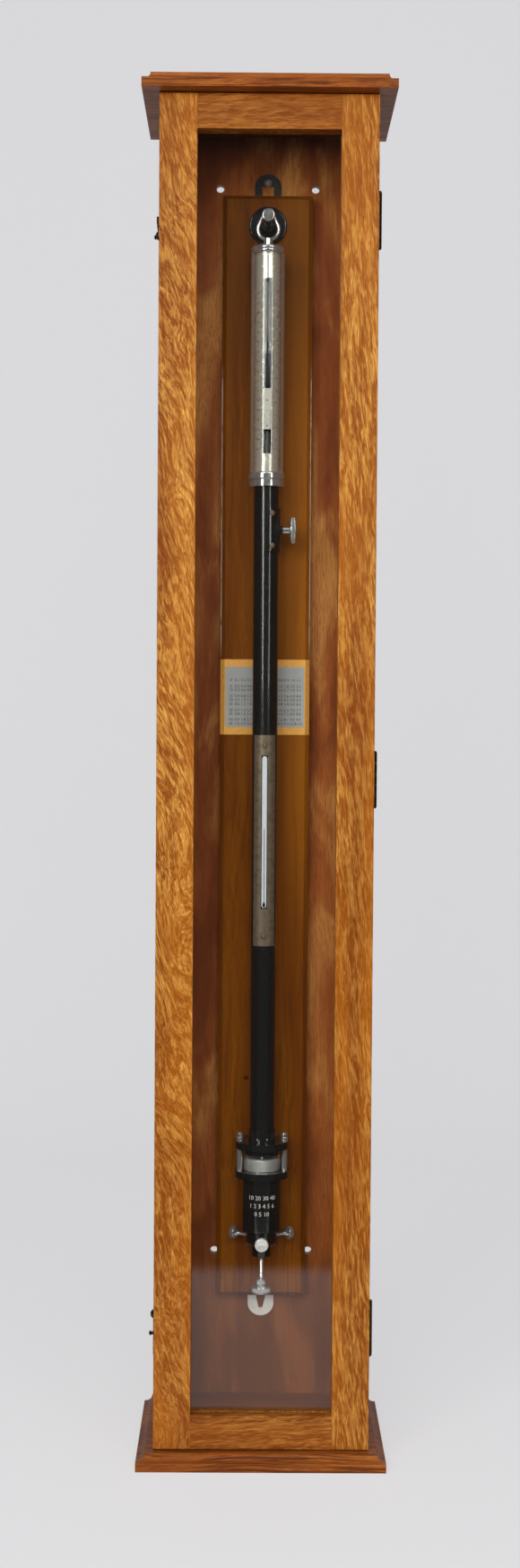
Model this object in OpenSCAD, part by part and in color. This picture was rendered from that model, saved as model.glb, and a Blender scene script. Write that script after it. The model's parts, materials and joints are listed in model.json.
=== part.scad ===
// Cistern barometer hung on a bevelled board inside a tall oak case with a glazed door.
// X runs to the right, Y to the back and Z up. The origin lies under the middle of the plinth.
// All sizes are in millimetres.

/* [Case] */
// Outside width across the two sides
case_w = 218; // [206:1:250]
// Height of the sides between plinth and cap
case_h = 1359; // [1345:1:1450]
// Depth of the sides from their front edges to the back
side_d = 144; // [138:1:170]
// Thickness of a side
side_t = 14; // [13:0.5:18]
// Thickness of the back panel
panel_t = 10; // [7:0.5:14]
// How far the back panel is let into each side
panel_rabbet = 6; // [3:0.5:8]
// Thickness of the loose floor board
floor_t = 5; // [3:0.5:12]
// Diameter of a wall-fixing hole in the back panel
wall_hole_d = 8.5; // [5:0.5:12]
// Distance between the two columns of wall-fixing holes
wall_hole_w = 101.6; // [100:0.2:108]
// Distance between the two rows of wall-fixing holes
wall_hole_h = 1143; // [1100:1:1160]
// Height of the lower holes above the plinth
wall_hole_rise = 162; // [140:1:170]

/* [Plinth and cap] */
// Thickness of the plinth board
plinth_t = 16; // [13:0.5:24]
// Thickness of the cap board
cap_t = 16; // [13:0.5:24]
// How far plinth and cap reach past each side
side_reach = 17; // [12:0.5:24]
// How far plinth and cap reach past the door
front_reach = 18; // [12:0.5:26]
// Height of the plain band below the cove
band_h = 9; // [6:0.5:11]
// Width of the ledge between band and cove
ledge_w = 1.5; // [0.5:0.25:3]

/* [Door] */
// Thickness of the door frame
door_t = 21; // [18:0.5:26]
// Gap between the closed door and the sides
door_gap = 1; // [0.6:0.1:1.6]
// Gap above and below the door
door_clear = 1.2; // [0.8:0.1:3]
// Width of a stile
stile_w = 37.5; // [34:0.5:42]
// Width of a rail
rail_w = 34.5; // [28:0.5:44]
// Thickness of the lip in front of the pane
lip_t = 10; // [8:0.5:11]
// Width of the rabbet that the pane lies in
pane_rabbet = 6; // [4:0.5:8]
// Thickness of the pane
pane_t = 3; // [2:0.5:4]
// Gap round the edge of the pane
pane_clear = 0.5; // [0.2:0.1:0.8]
// Thickness of a glazing bead
bead_t = 6; // [3:0.5:6]
// Length of a rail's tenon
tenon_l = 20; // [12:1:26]
// Thickness of a rail's tenon
tenon_t = 6; // [4:0.5:7]
// Shoulder of a tenon above and below
tenon_shoulder = 5; // [3:0.5:8]

/* [Hinges] */
// Length of a hinge
hinge_l = 56; // [45:1:65]
// Outer radius of the knuckles
barrel_r = 3; // [2.6:0.1:3.4]
// Radius of a hinge pin
hinge_pin_r = 1.2; // [0.9:0.1:1.6]
// How far the hinge axis lies outside the right side
hinge_out = 1; // [0.6:0.1:1.6]
// Width of a leaf, from the axis
leaf_w = 11; // [9:0.5:12]
// Thickness of a leaf
leaf_t = 1.6; // [1.2:0.1:2]
// Distance of the end hinges from plinth and cap
hinge_end = 119.5; // [90:0.5:150]

/* [Hooks] */
// Distance of a hook's pivot behind the front edge of the left side
hook_set = 22; // [19:0.5:28]
// How far a catch pin lies below its pivot
catch_drop = 9.5; // [6:0.5:12]
// Distance of the upper pivot below the cap
upper_hook_drop = 131; // [100:1:160]
// Height of the lower pivot above the plinth
lower_hook_rise = 126; // [100:1:160]
// Thickness of a hook
hook_t = 2; // [1.5:0.1:2.5]
// Width of a hook's blade
hook_w = 7; // [6:0.5:8]
// Length of a hook past its notch
hook_tip = 6.5; // [5:0.5:8]
// Angle between the raised upper hook and its catch pin
hook_lift = 24; // [20:1:40]
// Radius of a catch pin
catch_r = 1.6; // [1.2:0.1:1.9]
// Radius of a catch pin's head
catch_head_r = 2.7; // [2.4:0.1:3.2]
// Radius of a pivot screw's shank
pivot_r = 2; // [1.5:0.1:2.4]
// Radius of a pivot screw's domed head
pivot_head_r = 4.6; // [4:0.1:5.4]

/* [Mounting board] */
// Width of the board
board_w = 95; // [84:0.5:96]
// Height of the board
board_h = 1174.5; // [1160:0.5:1190]
// Thickness of the board
board_t = 20; // [16:0.5:24]
// Bevel round the front of the board
board_bevel = 4.5; // [2:0.25:7]
// Distance of the board's top below the cap
board_drop = 66; // [58:0.5:74]
// Radius of the small hole in the board
pilot_r = 2.4; // [1:0.1:4]
// Place of the small hole, left of the middle
pilot_left = 17; // [12:0.5:40]
// Height of the small hole above the board's lower edge
pilot_rise = 236.5; // [150:0.5:400]
// Thickness of the hanger plates behind the board
hanger_t = 3; // [2:0.25:4]
// Width of the hanger plates
hanger_w = 28; // [22:0.5:34]
// How far a hanger plate reaches past the board
hanger_out = 27; // [24:0.5:32]
// How far a hanger plate reaches behind the board
hanger_in = 20; // [12:0.5:30]
// Width of the wide part of the upper hanger's slot
keyhole_w = 12.6; // [10:0.2:15]
// Radius of the hanging screw's shank
hang_screw_r = 2.2; // [1.6:0.1:2.8]
// Radius of the hanging screw's round head
hang_head_r = 4.1; // [3.6:0.1:5]
// Height of the label
label_h = 80; // [50:1:120]
// Distance of the label below the top of the board
label_drop = 490; // [460:1:490]
// Thickness of the label
label_t = 0.8; // [0.4:0.1:1.5]
// Height of the printed card on the label
card_h = 64; // [40:1:70]
// Thickness of the printed card
card_t = 0.4; // [0.2:0.1:0.8]

/* [Suspension] */
// Distance of the barometer's axis from the front of the board
axis_off = 42; // [40:0.5:48]
// Distance of the arm below the top of the board
arm_drop = 33; // [26:0.5:40]
// Radius of the arm
arm_r = 3.4; // [2.8:0.1:4]
// Radius of the cap at the arm's front end
arm_cap_r = 6.9; // [6:0.1:8.5]
// Thickness of the arm's cap
arm_cap_t = 5; // [3:0.25:7]
// Distance from the barometer's axis to the arm's cap
arm_cap_off = 4; // [3:0.25:6]
// Radius of the rosette on the board
rosette_r = 20; // [16:0.5:24]
// Thickness of the rosette
rosette_t = 6; // [4:0.5:9]
// Mean radius of the suspension ring's round part
ring_r = 10.8; // [9.5:0.1:12]
// Distance from the arm down to the middle of the ring's round part
ring_drop = 13.2; // [11:0.1:16]
// Radius of the suspension ring's wire
wire_r = 1.85; // [1.4:0.05:2.2]
// Radius of the neck under the ring
neck_r = 4.6; // [3.8:0.1:5.5]
// Length of the neck under the ring
neck_l = 6; // [3:0.25:9]
// Radius of the swivel pin in the top cap
swivel_r = 3; // [2:0.1:3.5]
// Radius of the swivel's head under the top cap
swivel_head_r = 6; // [4.5:0.1:7]
// Thickness of the swivel's head
swivel_head_t = 2.5; // [1.5:0.25:4]

/* [Upper tube] */
// Radius of the top cap
top_cap_r = 17.65; // [17:0.05:19]
// Height of the top cap
top_cap_h = 7.6; // [5:0.2:10]
// Outer radius of the glass shroud
shroud_r = 17.5; // [16.6:0.05:18]
// Wall of the glass shroud
shroud_t = 2; // [1.2:0.1:2.4]
// Length of the glass shroud
shroud_l = 225; // [222:1:235]
// Outer radius of the scale tube
scale_r = 13.1; // [12.8:0.05:13.2]
// Wall of the scale tube
scale_t = 1.2; // [0.9:0.05:1.3]
// Width of the sighting slots
slot_w = 8.6; // [8:0.1:10]
// Length of the sighting slots
slot_l = 180; // [175:1:184]
// Height of the slots above the collar's seat
slot_rise = 27; // [25:0.5:28]
// Radius of the collar under the shroud
collar_r = 19.1; // [18.4:0.1:21]
// Height of the collar
collar_h = 8.4; // [6:0.2:11]
// Radius of the step under the collar
collar_step_r = 18.2; // [15:0.1:18.4]
// Height of the step under the collar
collar_step_h = 6.5; // [4:0.25:9]

/* [Body tube] */
// Outer radius of the body tube
tube_r = 13.3; // [13.1:0.05:13.5]
// Wall of the body tube
tube_t = 1.5; // [1.2:0.05:1.7]
// Length of the body tube
tube_l = 690; // [686:0.5:694]
// Outer radius of the glass barometer tube
glass_r = 5; // [4.4:0.1:5.2]
// Wall of the glass barometer tube
glass_t = 1.8; // [1:0.1:2.2]
// Height of a cork packing ring
cork_h = 12; // [6:0.5:20]

/* [Vernier] */
// Height of the mercury column that the vernier is set to
reading = 760; // [745:0.5:780]
// Length of the vernier sleeve
sleeve_l = 89; // [75:0.5:92]
// Wall of the vernier sleeve
sleeve_t = 1.2; // [0.8:0.05:1.4]
// Gap between sliding pieces
slide_gap = 0.3; // [0.2:0.05:0.4]
// Length of the vernier plate
vernier_l = 42; // [30:0.5:60]
// Width of the vernier plate
vernier_w = 8; // [5:0.1:8]
// How far the vernier plate stands out of the scale tube
vernier_out = 0.4; // [0.2:0.1:1]
// Travel of the vernier above the reading
travel_up = 60; // [40:1:62]
// Travel of the vernier below the reading
travel_down = 24; // [12:1:24]
// Number of teeth of the pinion
pinion_teeth = 12; // [11:1:14]
// Pitch radius of the pinion
pinion_r = 4; // [3.6:0.1:4.2]
// Face width of pinion and rack
pinion_w = 3; // [2:0.1:3.2]
// Gap between the glass tube and the pinion
pinion_gap = 0.4; // [0.3:0.05:0.6]
// Free play of the teeth along the pitch line
tooth_play = 0.12; // [0.08:0.01:0.2]
// Thickness of the rack behind its teeth
rack_back = 2.2; // [1.5:0.1:2.6]
// Height of the rack's end that is let into the sleeve
rack_lap = 12; // [8:0.5:20]
// Distance of the vernier knob below the collar's seat
knob_drop = 51; // [46:0.5:60]
// Height of the pinion housing
housing_h = 45; // [36:0.5:54]
// Distance of the housing's screws from its ends
housing_screw_in = 5.8; // [4.5:0.1:8]
// Wall of the pinion housing
housing_t = 1.8; // [1.4:0.1:2.4]
// Half of the angle that the housing wraps round the tube
housing_half = 78; // [70:1:86]
// Radius of the bearing boss
boss_r = 4.65; // [4:0.05:5.5]
// Distance of the boss's face from the barometer's axis
boss_x = 17.1; // [16.2:0.1:19]
// Radius of the pinion's arbor
arbor_r = 1.6; // [1.2:0.1:2]
// Running gap of a shaft in its bearing
run_gap = 0.05; // [0.03:0.01:0.1]
// Radius of the knob's hub
hub_r = 3.6; // [3:0.1:4.4]
// Length of the knob's hub
hub_l = 7.1; // [5:0.1:8]
// Radius of the knob's head
knob_r = 13.6; // [11:0.1:14.5]
// Thickness of the knob's head
knob_t = 6.7; // [5:0.1:8]

/* [Thermometer] */
// Distance of the thermometer plate below the collar's seat
therm_drop = 264; // [240:1:280]
// Length of the thermometer plate
therm_l = 220; // [200:1:240]
// Thickness of the thermometer plate
therm_t = 1.25; // [0.8:0.05:1.8]
// Half of the angle that the plate wraps round the tube
therm_half = 49; // [40:1:60]
// Width of the slot in the plate
therm_slot_w = 6.6; // [5.8:0.1:8]
// Length of the slot in the plate
therm_slot_l = 160; // [140:1:164]
// Height of the slot above the plate's lower end
therm_slot_rise = 39; // [24:0.5:39]
// Radius of the thermometer's stem
stem_r = 2.4; // [1.6:0.1:2.5]
// Distance of the plate's screws from its ends
therm_screw_in = 10.5; // [8:0.5:14]
// Radius of a screw head on the tube
tube_screw_r = 3; // [2:0.1:3.4]

/* [Cistern] */
// Radius of the two flanges
flange_r = 28.7; // [27.5:0.1:30]
// Thickness of a flange
flange_t = 7.3; // [5:0.1:9]
// Radius of the socket that holds the body tube
socket_r = 14.5; // [14.2:0.05:16]
// Height of the socket
socket_h = 11.5; // [8:0.5:15]
// Radius of the step under the upper flange
step_r = 19.1; // [18.4:0.1:20]
// Height of the step under the upper flange
step_h = 6.5; // [4:0.1:8]
// Outer radius of the cistern glass
cistern_glass_r = 19.5; // [18.6:0.1:20.4]
// Wall of the cistern glass
cistern_glass_t = 2.5; // [1.5:0.1:3]
// Height of the cistern glass
cistern_glass_h = 16.8; // [16:0.1:20]
// Radius of the circle through the pillars
pillar_circle_r = 25.4; // [24.4:0.1:25.4]
// Angle of the pillars from the left and right directions
pillar_angle = 22; // [15:1:45]
// Radius of a pillar
pillar_r = 3; // [2.4:0.1:3.2]
// Radius of a pillar's head
pillar_head_r = 3.7; // [3.4:0.1:4.4]
// Height of a pillar's head
pillar_head_h = 6; // [4:0.25:8]
// Height of the mercury above the lower flange
level_h = 12.5; // [10:0.1:13]
// Outer radius of the cup
cup_r = 20.7; // [20:0.1:21.4]
// Wall of the cup
cup_t = 1.7; // [1.2:0.1:2]
// Height of the cup
cup_h = 57; // [54:0.5:60]
// Thickness of the cup's floor
cup_floor = 3.5; // [2.5:0.1:5]
// Radius of the lip at the bottom of the cup
lip_r = 21.4; // [20.8:0.1:22.4]
// Height of the lip
lip_h = 2; // [1:0.1:3]
// Radius of the boss under the cup
end_boss_r = 10.3; // [9:0.1:11]
// Length of the boss under the cup
end_boss_l = 27.4; // [24:0.2:30]
// Radius of the ivory pointer
pointer_r = 1.5; // [1:0.1:2]
// Distance of the pointer from the axis
pointer_off = 11.5; // [9:0.1:13]
// Thickness of the leather bag
bag_t = 1.2; // [0.8:0.1:1.6]
// Outer radius of the bag at its mouth
bag_r = 17.5; // [17:0.1:18]
// Outer radius of the bag at its foot
bag_foot_r = 13; // [11:0.1:15]

/* [Adjusting screw] */
// Radius of the adjusting screw
screw_r = 2.5; // [2:0.1:3.2]
// Length of the screw between boss and collar
screw_out = 25.2; // [20:0.2:30]
// Radius of the screw's collar
nut_r = 4.9; // [4:0.1:6]
// Height of the screw's collar
nut_h = 7.3; // [5:0.1:9]
// Radius of the screw's wheel
wheel_r = 10.5; // [9:0.1:13]
// Height of the screw's wheel
wheel_h = 7.3; // [5:0.1:9]
// Radius of the button under the bag
button_r = 11; // [8:0.1:12]
// Thickness of the button
button_t = 4; // [3:0.1:6]
// Travel of the button below the bag at rest
button_drop = 8; // [5:0.25:8.5]

/* [Centring ring] */
// Outer radius of the centring ring
centring_r = 16.5; // [15.5:0.1:18]
// Wall of the centring ring
centring_t = 3.5; // [3:0.1:4]
// Height of the centring ring
centring_h = 15; // [11:0.2:17]
// Bevel under the centring ring
centring_bevel = 3; // [1:0.1:3.2]
// Gap between the cup and the centring ring
centring_gap = 0.4; // [0.3:0.05:0.8]
// Width of the bracket's arm
bracket_w = 12; // [8:0.5:14]
// Height of the bracket's arm
bracket_h = 11; // [8:0.5:14]
// Width of the bracket's foot on the board
foot_w = 30; // [20:0.5:38]
// Height of the bracket's foot
foot_h = 40; // [26:0.5:50]
// Thickness of the bracket's foot
foot_t = 4; // [2.5:0.25:6]
// Radius of a thumb screw's shank
thumb_r = 1.8; // [1.4:0.1:2.2]
// Distance of a thumb screw's head from the axis
thumb_head_x = 31; // [28:0.5:34]
// Length of the flare behind a thumb screw's head
thumb_flare_l = 4; // [2:0.25:6]
// Radius of a thumb screw's head
thumb_head_r = 7.1; // [6:0.1:8]
// Thickness of a thumb screw's head
thumb_head_t = 5.5; // [3.5:0.25:7]

/* [Hidden] */
$fn = 72;

// Small gaps and overshoots
fit_gap = 0.02;      // between fixed round pieces that seat in one another
turn_gap = 0.3;      // round a barrel, hook or screw that turns past another piece
cut = 1;             // how far a cutting solid overshoots
knuckles = 5;        // knuckles of one hinge
knuckle_gap = 0.2;   // between two knuckles
leaf_gap = 0.3;      // between the two closed leaves
pressure_angle = 20; // of rack and pinion
pinion_dedendum = 0.9;  // depth and height of the teeth from the pitch line,
pinion_addendum = 0.8;  // as shares of the tooth module
rack_addendum = 0.65;
rack_dedendum = 1.05;
spare_teeth = 3;        // teeth at each end of the rack beyond its travel
pin_head_in = 0.6;      // how far a hinge pin's head stays inside the barrel
catch_play = 0.4;       // between a closed hook and the head of its catch pin
keyhole_neck = 1;       // depth of the narrow part of the keyhole below the screw
hang_hole_floor = 2;    // wood behind the hanging screw's hole
groove_floor = 0.2;     // wall behind the thermometer's groove
tube_foot = 2;          // from the lower flange up to the glass tube's open end
tube_head_room = 12;    // from the top cap down to the glass tube's closed end
button_room = 1;        // under the button at the end of its travel
swivel_room = 2;        // round the swivel's head
wire_step = 0.05;       // by which the ring's straight sides are thinner than its bends
wire_lap = 0.5;         // how far a straight side reaches into a bend
driver_slot = 0.3;      // width of a driver's slot, as a share of the head's radius
driver_slot_floor = 0.4;    // its floor, as a share of the head's height
housing_screw_turn = 12; // angle of the housing's screws from its front edge

// Planes of the case
total_d = side_d + door_gap + door_t + front_reach;
total_w = case_w + 2 * side_reach;
y_front = -total_d / 2;
y_back = total_d / 2;
y_side = y_back - side_d;
y_door_back = y_side - door_gap;
y_door = y_door_back - door_t;
y_panel = y_back - panel_t;
z_plinth = plinth_t;
z_cap = plinth_t + case_h;
z_door0 = z_plinth + door_clear;
z_door1 = z_cap - door_clear;
open_x = case_w / 2 - stile_w;
open_z0 = z_door0 + rail_w;
open_z1 = z_door1 - rail_w;
pane_y = y_door + lip_t;

// Hinges
hinge_x = case_w / 2 + hinge_out;
hinge_y = y_side - door_gap / 2;
hinge_z = [z_plinth + hinge_end, z_plinth + case_h / 2, z_cap - hinge_end];
hinge_bore_r = hinge_pin_r + run_gap;
knuckle_l = hinge_l / knuckles;

// Hooks and their catch pins
pivot_y = y_side + hook_set;
catch_y = y_door + door_t / 2;
catch_reach = norm([pivot_y - catch_y, catch_drop]);
catch_angle = 180 + atan2(catch_drop, pivot_y - catch_y);
upper_pivot_z = z_cap - upper_hook_drop;
lower_pivot_z = z_plinth + lower_hook_rise;
hook_x = -case_w / 2 - turn_gap;
hanging_angle = 270;

// Board and suspension
board_back_y = y_panel - hanger_t;
board_y = board_back_y - board_t;
axis_y = board_y - axis_off;
board_z1 = z_cap - board_drop;
board_z0 = board_z1 - board_h;
arm_z = board_z1 - arm_drop;
ring_z = arm_z - ring_drop;
ring_top_r = arm_r + run_gap + wire_r;
ring_lean = asin((ring_r - ring_top_r) / ring_drop);
hang_screw_z = board_z1 + hanger_out - hanger_w / 2 + hang_screw_r * 2;

// Heights down the barometer
cap_top_z = ring_z - ring_r - wire_r - neck_l;
shroud_z1 = cap_top_z - top_cap_h;
collar_z = shroud_z1 - shroud_l;
seat_z = collar_z - collar_h;
knob_z = seat_z - knob_drop;
flange_z = seat_z - tube_l;
step_z = flange_z - flange_t;
glass_z1 = step_z - step_h;
glass_z0 = glass_z1 - cistern_glass_h;
cup_z1 = glass_z0 - flange_t;
cup_z0 = cup_z1 - cup_h;
boss_z0 = cup_z0 - end_boss_l;
level_z = glass_z0 + level_h;
read_z = level_z + reading;

// Radii inside the barometer
tube_ir = tube_r - tube_t;
scale_ir = scale_r - scale_t;
sleeve_r = scale_ir - slide_gap;
bore_r = glass_r - glass_t;
cistern_ir = cistern_glass_r - cistern_glass_t;
pool_r = cistern_ir - fit_gap;
glass_tube_z0 = glass_z0 + tube_foot;
glass_tube_z1 = shroud_z1 - tube_head_room;
button_z1 = cup_z0 + cup_floor + button_drop + button_t + button_room;
bag_z0 = button_z1 + turn_gap;

// Rack and pinion
gear_module = 2 * pinion_r / pinion_teeth;
tooth_pitch = PI * gear_module;
pinion_base_r = pinion_r * cos(pressure_angle);
pinion_root_r = pinion_r - pinion_dedendum * gear_module;
pinion_tip_r = pinion_r + pinion_addendum * gear_module;
rack_tip_v = pinion_r - rack_addendum * gear_module;
rack_root_v = pinion_r + rack_dedendum * gear_module;
rack_back_v = rack_root_v + rack_back;
pinion_x = glass_r + pinion_gap;
rack_z0 = knob_z - travel_up - spare_teeth * tooth_pitch;
rack_teeth_z1 = knob_z + travel_down + spare_teeth * tooth_pitch;
rack_z1 = read_z + rack_lap;

// Centring ring and its three thumb screws
centring_z1 = cup_z0 - centring_gap;
centring_z = centring_z1 - centring_h / 2;
centring_ir = centring_r - centring_t;
thumb_tip_x = end_boss_r + turn_gap;
front_angle = -90;
left_angle = 150;
right_angle = 30;

// Colours
oak = [0.72, 0.48, 0.20];
dark_oak = [0.42, 0.26, 0.14];
varnish = [0.44, 0.26, 0.10];
black_lacquer = [0.10, 0.10, 0.09];
nickel = [0.78, 0.78, 0.76];
silvered = [0.66, 0.62, 0.55];
iron = [0.20, 0.17, 0.14];
clear_glass = [0.80, 0.88, 0.88, 0.4];
mercury = [0.62, 0.63, 0.65];

// Shapes that repeat

// Ring or disc about the Z axis, from z0 to z1.
module ring(outer, inner, z0, z1) {
    translate([0, 0, z0])
        difference() {
            cylinder(r = outer, h = z1 - z0);
            if (inner > 0)
                translate([0, 0, -cut])
                    cylinder(r = inner, h = z1 - z0 + 2 * cut);
        }
}

// Disc of radius r and height h whose two edges are rounded by e.
module round_disc(r, h, e) {
    rotate_extrude()
        union() {
            square([r - e, h]);
            translate([0, e])
                square([r, h - 2 * e]);
            translate([r - e, e])
                circle(r = e);
            translate([r - e, h - e])
                circle(r = e);
        }
}

// Domed head of radius r and height h, flat side down, on a short skirt that joins it to a shank.
module dome(r, h, skirt = 0) {
    sphere_r = (r * r + h * h) / (2 * h);
    intersection() {
        translate([0, 0, h - sphere_r])
            sphere(r = sphere_r);
        translate([0, 0, -skirt])
            cylinder(r = r, h = h + skirt);
    }
}

// Round screw head with a slot for a driver across it.
module slotted_head(r, h) {
    slot = r * driver_slot;
    difference() {
        dome(r, h);
        translate([-slot / 2, -r, h * driver_slot_floor])
            cube([slot, 2 * r, h]);
    }
}

// Box given by its two corners.
module box(low, high) {
    translate(low)
        cube(high - low);
}

// Wedge about the Z axis, open between two angles, for cutting sectors out of rings.
module sector(mid, half, reach, z0, z1) {
    translate([0, 0, z0])
        linear_extrude(height = z1 - z0)
            polygon(concat([[0, 0]],
                [for (i = [-2:2]) reach * [cos(mid + half * i / 2), sin(mid + half * i / 2)]]));
}

// Moves a shape from the Z axis to the barometer's axis.
module on_axis() {
    translate([0, axis_y, 0])
        children();
}

// Lays a flat outline, drawn in Y and Z, across the X axis from x on.
module across(x, thick) {
    translate([x, 0, 0])
        rotate([90, 0, 90])
            linear_extrude(height = thick)
                children();
}

// Edge mould of plinth and cap: a band, a ledge and a cove, cut from one corner at x = 0.
module mould_cut(t) {
    translate([-cut, band_h])
        square([ledge_w + cut, t - band_h + cut]);
    translate([ledge_w, t])
        circle(r = t - band_h);
}

// Board with the mould on its front and its two ends, and a plain back.
module moulded_board(t) {
    intersection() {
        rotate([90, 0, 0])
            linear_extrude(height = total_d, center = true)
                difference() {
                    translate([-total_w / 2, 0])
                        square([total_w, t]);
                    for (s = [0, 1])
                        mirror([s, 0])
                            translate([-total_w / 2, 0])
                                mould_cut(t);
                }
        across(-total_w / 2, total_w)
            difference() {
                translate([y_front, 0])
                    square([total_d, t]);
                translate([y_front, 0])
                    mould_cut(t);
            }
    }
}

// Case

module plinth() {
    color(oak)
        moulded_board(plinth_t);
}

module cap() {
    color(oak)
        translate([0, 0, z_cap])
            moulded_board(cap_t);
}

module case_floor() {
    color(dark_oak)
        box([-case_w / 2 + side_t, y_side, z_plinth], [case_w / 2 - side_t, y_panel, z_plinth + floor_t]);
}

// One side of the case on the left, with the rabbet for the back panel.
module plain_side() {
    difference() {
        box([-case_w / 2, y_side, z_plinth], [-case_w / 2 + side_t, y_back, z_cap]);
        box([-case_w / 2 + side_t - panel_rabbet, y_panel, z_plinth - cut],
            [-case_w / 2 + side_t + cut, y_back + cut, z_cap + cut]);
    }
}

module side_left() {
    color(oak)
        difference() {
            plain_side();
            for (z = [upper_pivot_z, lower_pivot_z])
                pivot_hole(z);
        }
}

// Hole for a hook's pivot screw.
module pivot_hole(z) {
    translate([-case_w / 2 - cut, pivot_y, z])
        rotate([0, 90, 0])
            cylinder(r = pivot_r + fit_gap, h = pivot_depth + cut);
}
pivot_depth = 10;

module side_right() {
    color(oak)
        difference() {
            mirror([1, 0, 0])
                plain_side();
            for (z = hinge_z)
                hinge_gain(z, 1);
        }
}

module back_panel() {
    panel_x = case_w / 2 - side_t + panel_rabbet;
    color(dark_oak)
        difference() {
            box([-panel_x, y_panel, z_plinth], [panel_x, y_back, z_cap]);
            for (x = [-1, 1], z = [0, 1])
                translate([x * wall_hole_w / 2, y_panel - cut, z_plinth + wall_hole_rise + z * wall_hole_h])
                    rotate([-90, 0, 0])
                        cylinder(d = wall_hole_d, h = panel_t + 2 * cut);
            translate([0, y_panel - cut, hang_screw_z])
                rotate([-90, 0, 0])
                    cylinder(r = hang_screw_r + fit_gap, h = panel_t - hang_hole_floor + cut);
        }
}

// Hinges

// Cut for one hinge: the gain of a leaf and the hollow round the barrel.
// way is 1 on the case and -1 on the door.
module hinge_gain(z, way) {
    leaf_y0 = hinge_y - way * leaf_t;
    leaf_y1 = hinge_y + way * (leaf_gap / 2 + leaf_t);
    box([hinge_x - leaf_w, min(leaf_y0, leaf_y1), z - hinge_l / 2],
        [hinge_x + cut, max(leaf_y0, leaf_y1), z + hinge_l / 2]);
    translate([hinge_x, hinge_y, z - hinge_l / 2 - hinge_head_h - turn_gap])
        cylinder(r = barrel_r + turn_gap, h = hinge_l + 2 * (hinge_head_h + turn_gap));
}
hinge_head_h = 1;

// One leaf with its knuckles. first is the number of its lowest knuckle.
module hinge_leaf(z, way, first) {
    plate_y = hinge_y + (way > 0 ? leaf_gap / 2 : -leaf_gap / 2 - leaf_t);
    translate([0, 0, z - hinge_l / 2])
        difference() {
            union() {
                difference() {
                    translate([hinge_x - leaf_w, plate_y, 0])
                        cube([leaf_w, leaf_t, hinge_l]);
                    for (k = [0:knuckles - 1])
                        if ((k + first) % 2 == 1)
                            translate([hinge_x, hinge_y, k * knuckle_l - knuckle_gap / 2])
                                cylinder(r = barrel_r + turn_gap, h = knuckle_l + knuckle_gap);
                }
                for (k = [first:2:knuckles - 1])
                    translate([hinge_x, hinge_y, k * knuckle_l + knuckle_gap / 2])
                        cylinder(r = barrel_r, h = knuckle_l - knuckle_gap);
            }
            translate([hinge_x, hinge_y, -cut])
                cylinder(r = hinge_bore_r, h = hinge_l + 2 * cut);
        }
}

module hinge_case_leaves() {
    color(iron)
        for (z = hinge_z)
            hinge_leaf(z, 1, 0);
}

module hinge_door_leaves() {
    color(iron)
        for (z = hinge_z)
            hinge_leaf(z, -1, 1);
}

module hinge_pins() {
    color(iron)
        for (z = hinge_z)
            translate([hinge_x, hinge_y, z - hinge_l / 2]) {
                cylinder(r = hinge_pin_r, h = hinge_l);
                for (end = [-hinge_head_h, hinge_l])
                    translate([0, 0, end])
                        cylinder(r = barrel_r - pin_head_in, h = hinge_head_h);
            }
}

// Hooks

module hook_pivot_screws() {
    color(iron)
        for (z = [upper_pivot_z, lower_pivot_z])
            translate([-case_w / 2, pivot_y, z])
                rotate([0, -90, 0]) {
                    translate([0, 0, -pivot_depth])
                        cylinder(r = pivot_r, h = pivot_depth + hook_t + 2 * turn_gap);
                    translate([0, 0, hook_t + 2 * turn_gap])
                        slotted_head(pivot_head_r, pivot_head_r * 0.6);
                }
}

// Outline of a hook along +X from its pivot, with its notch open on the +Y side.
module hook_outline() {
    notch_r = catch_r + 1.5 * turn_gap;
    difference() {
        union() {
            circle(r = hook_w * 0.7);
            translate([0, -hook_w / 2])
                square([catch_reach + hook_tip, hook_w]);
            translate([catch_reach, -notch_r * 0.4])
                circle(r = notch_r * 2.1);
        }
        circle(r = pivot_r + run_gap);
        translate([catch_reach, 0])
            circle(r = notch_r);
        translate([catch_reach - notch_r, 0])
            square([2 * notch_r, hook_w]);
    }
}

// Hook on the left side, its blade pointing at an angle from the back towards the top.
module hook(z, angle) {
    translate([hook_x - hook_t, pivot_y, z])
        rotate([angle, 0, 0])
            across(0, hook_t)
                hook_outline();
}

module upper_hook() {
    color(iron)
        hook(upper_pivot_z, catch_angle - hook_lift);
}

module lower_hook() {
    color(iron)
        hook(lower_pivot_z, hanging_angle);
}

module catch_pins() {
    shank_l = hook_t + 2 * turn_gap + catch_play;
    color(iron)
        for (z = [upper_pivot_z, lower_pivot_z])
            translate([-case_w / 2, catch_y, z - catch_drop])
                rotate([0, -90, 0]) {
                    translate([0, 0, -catch_depth])
                        cylinder(r = catch_r, h = catch_depth + shank_l);
                    translate([0, 0, shank_l])
                        dome(catch_head_r, catch_head_r * 0.8);
                }
}
catch_depth = 8;

// Door

// Rabbet and pane opening between z0 and z1, for cutting out of the frame.
module pane_cut() {
    box([-open_x - pane_rabbet, pane_y, open_z0 - pane_rabbet],
        [open_x + pane_rabbet, y_door_back + cut, open_z1 + pane_rabbet]);
}

// Tenon of a rail, or its mortise, on one side of the door.
module tenon(s, z0) {
    x0 = min(s * open_x, s * (open_x + tenon_l));
    mid_y = y_door + lip_t / 2;
    translate([x0, mid_y - tenon_t / 2, z0 + tenon_shoulder])
        cube([tenon_l, tenon_t, rail_w - 2 * tenon_shoulder]);
}

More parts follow.
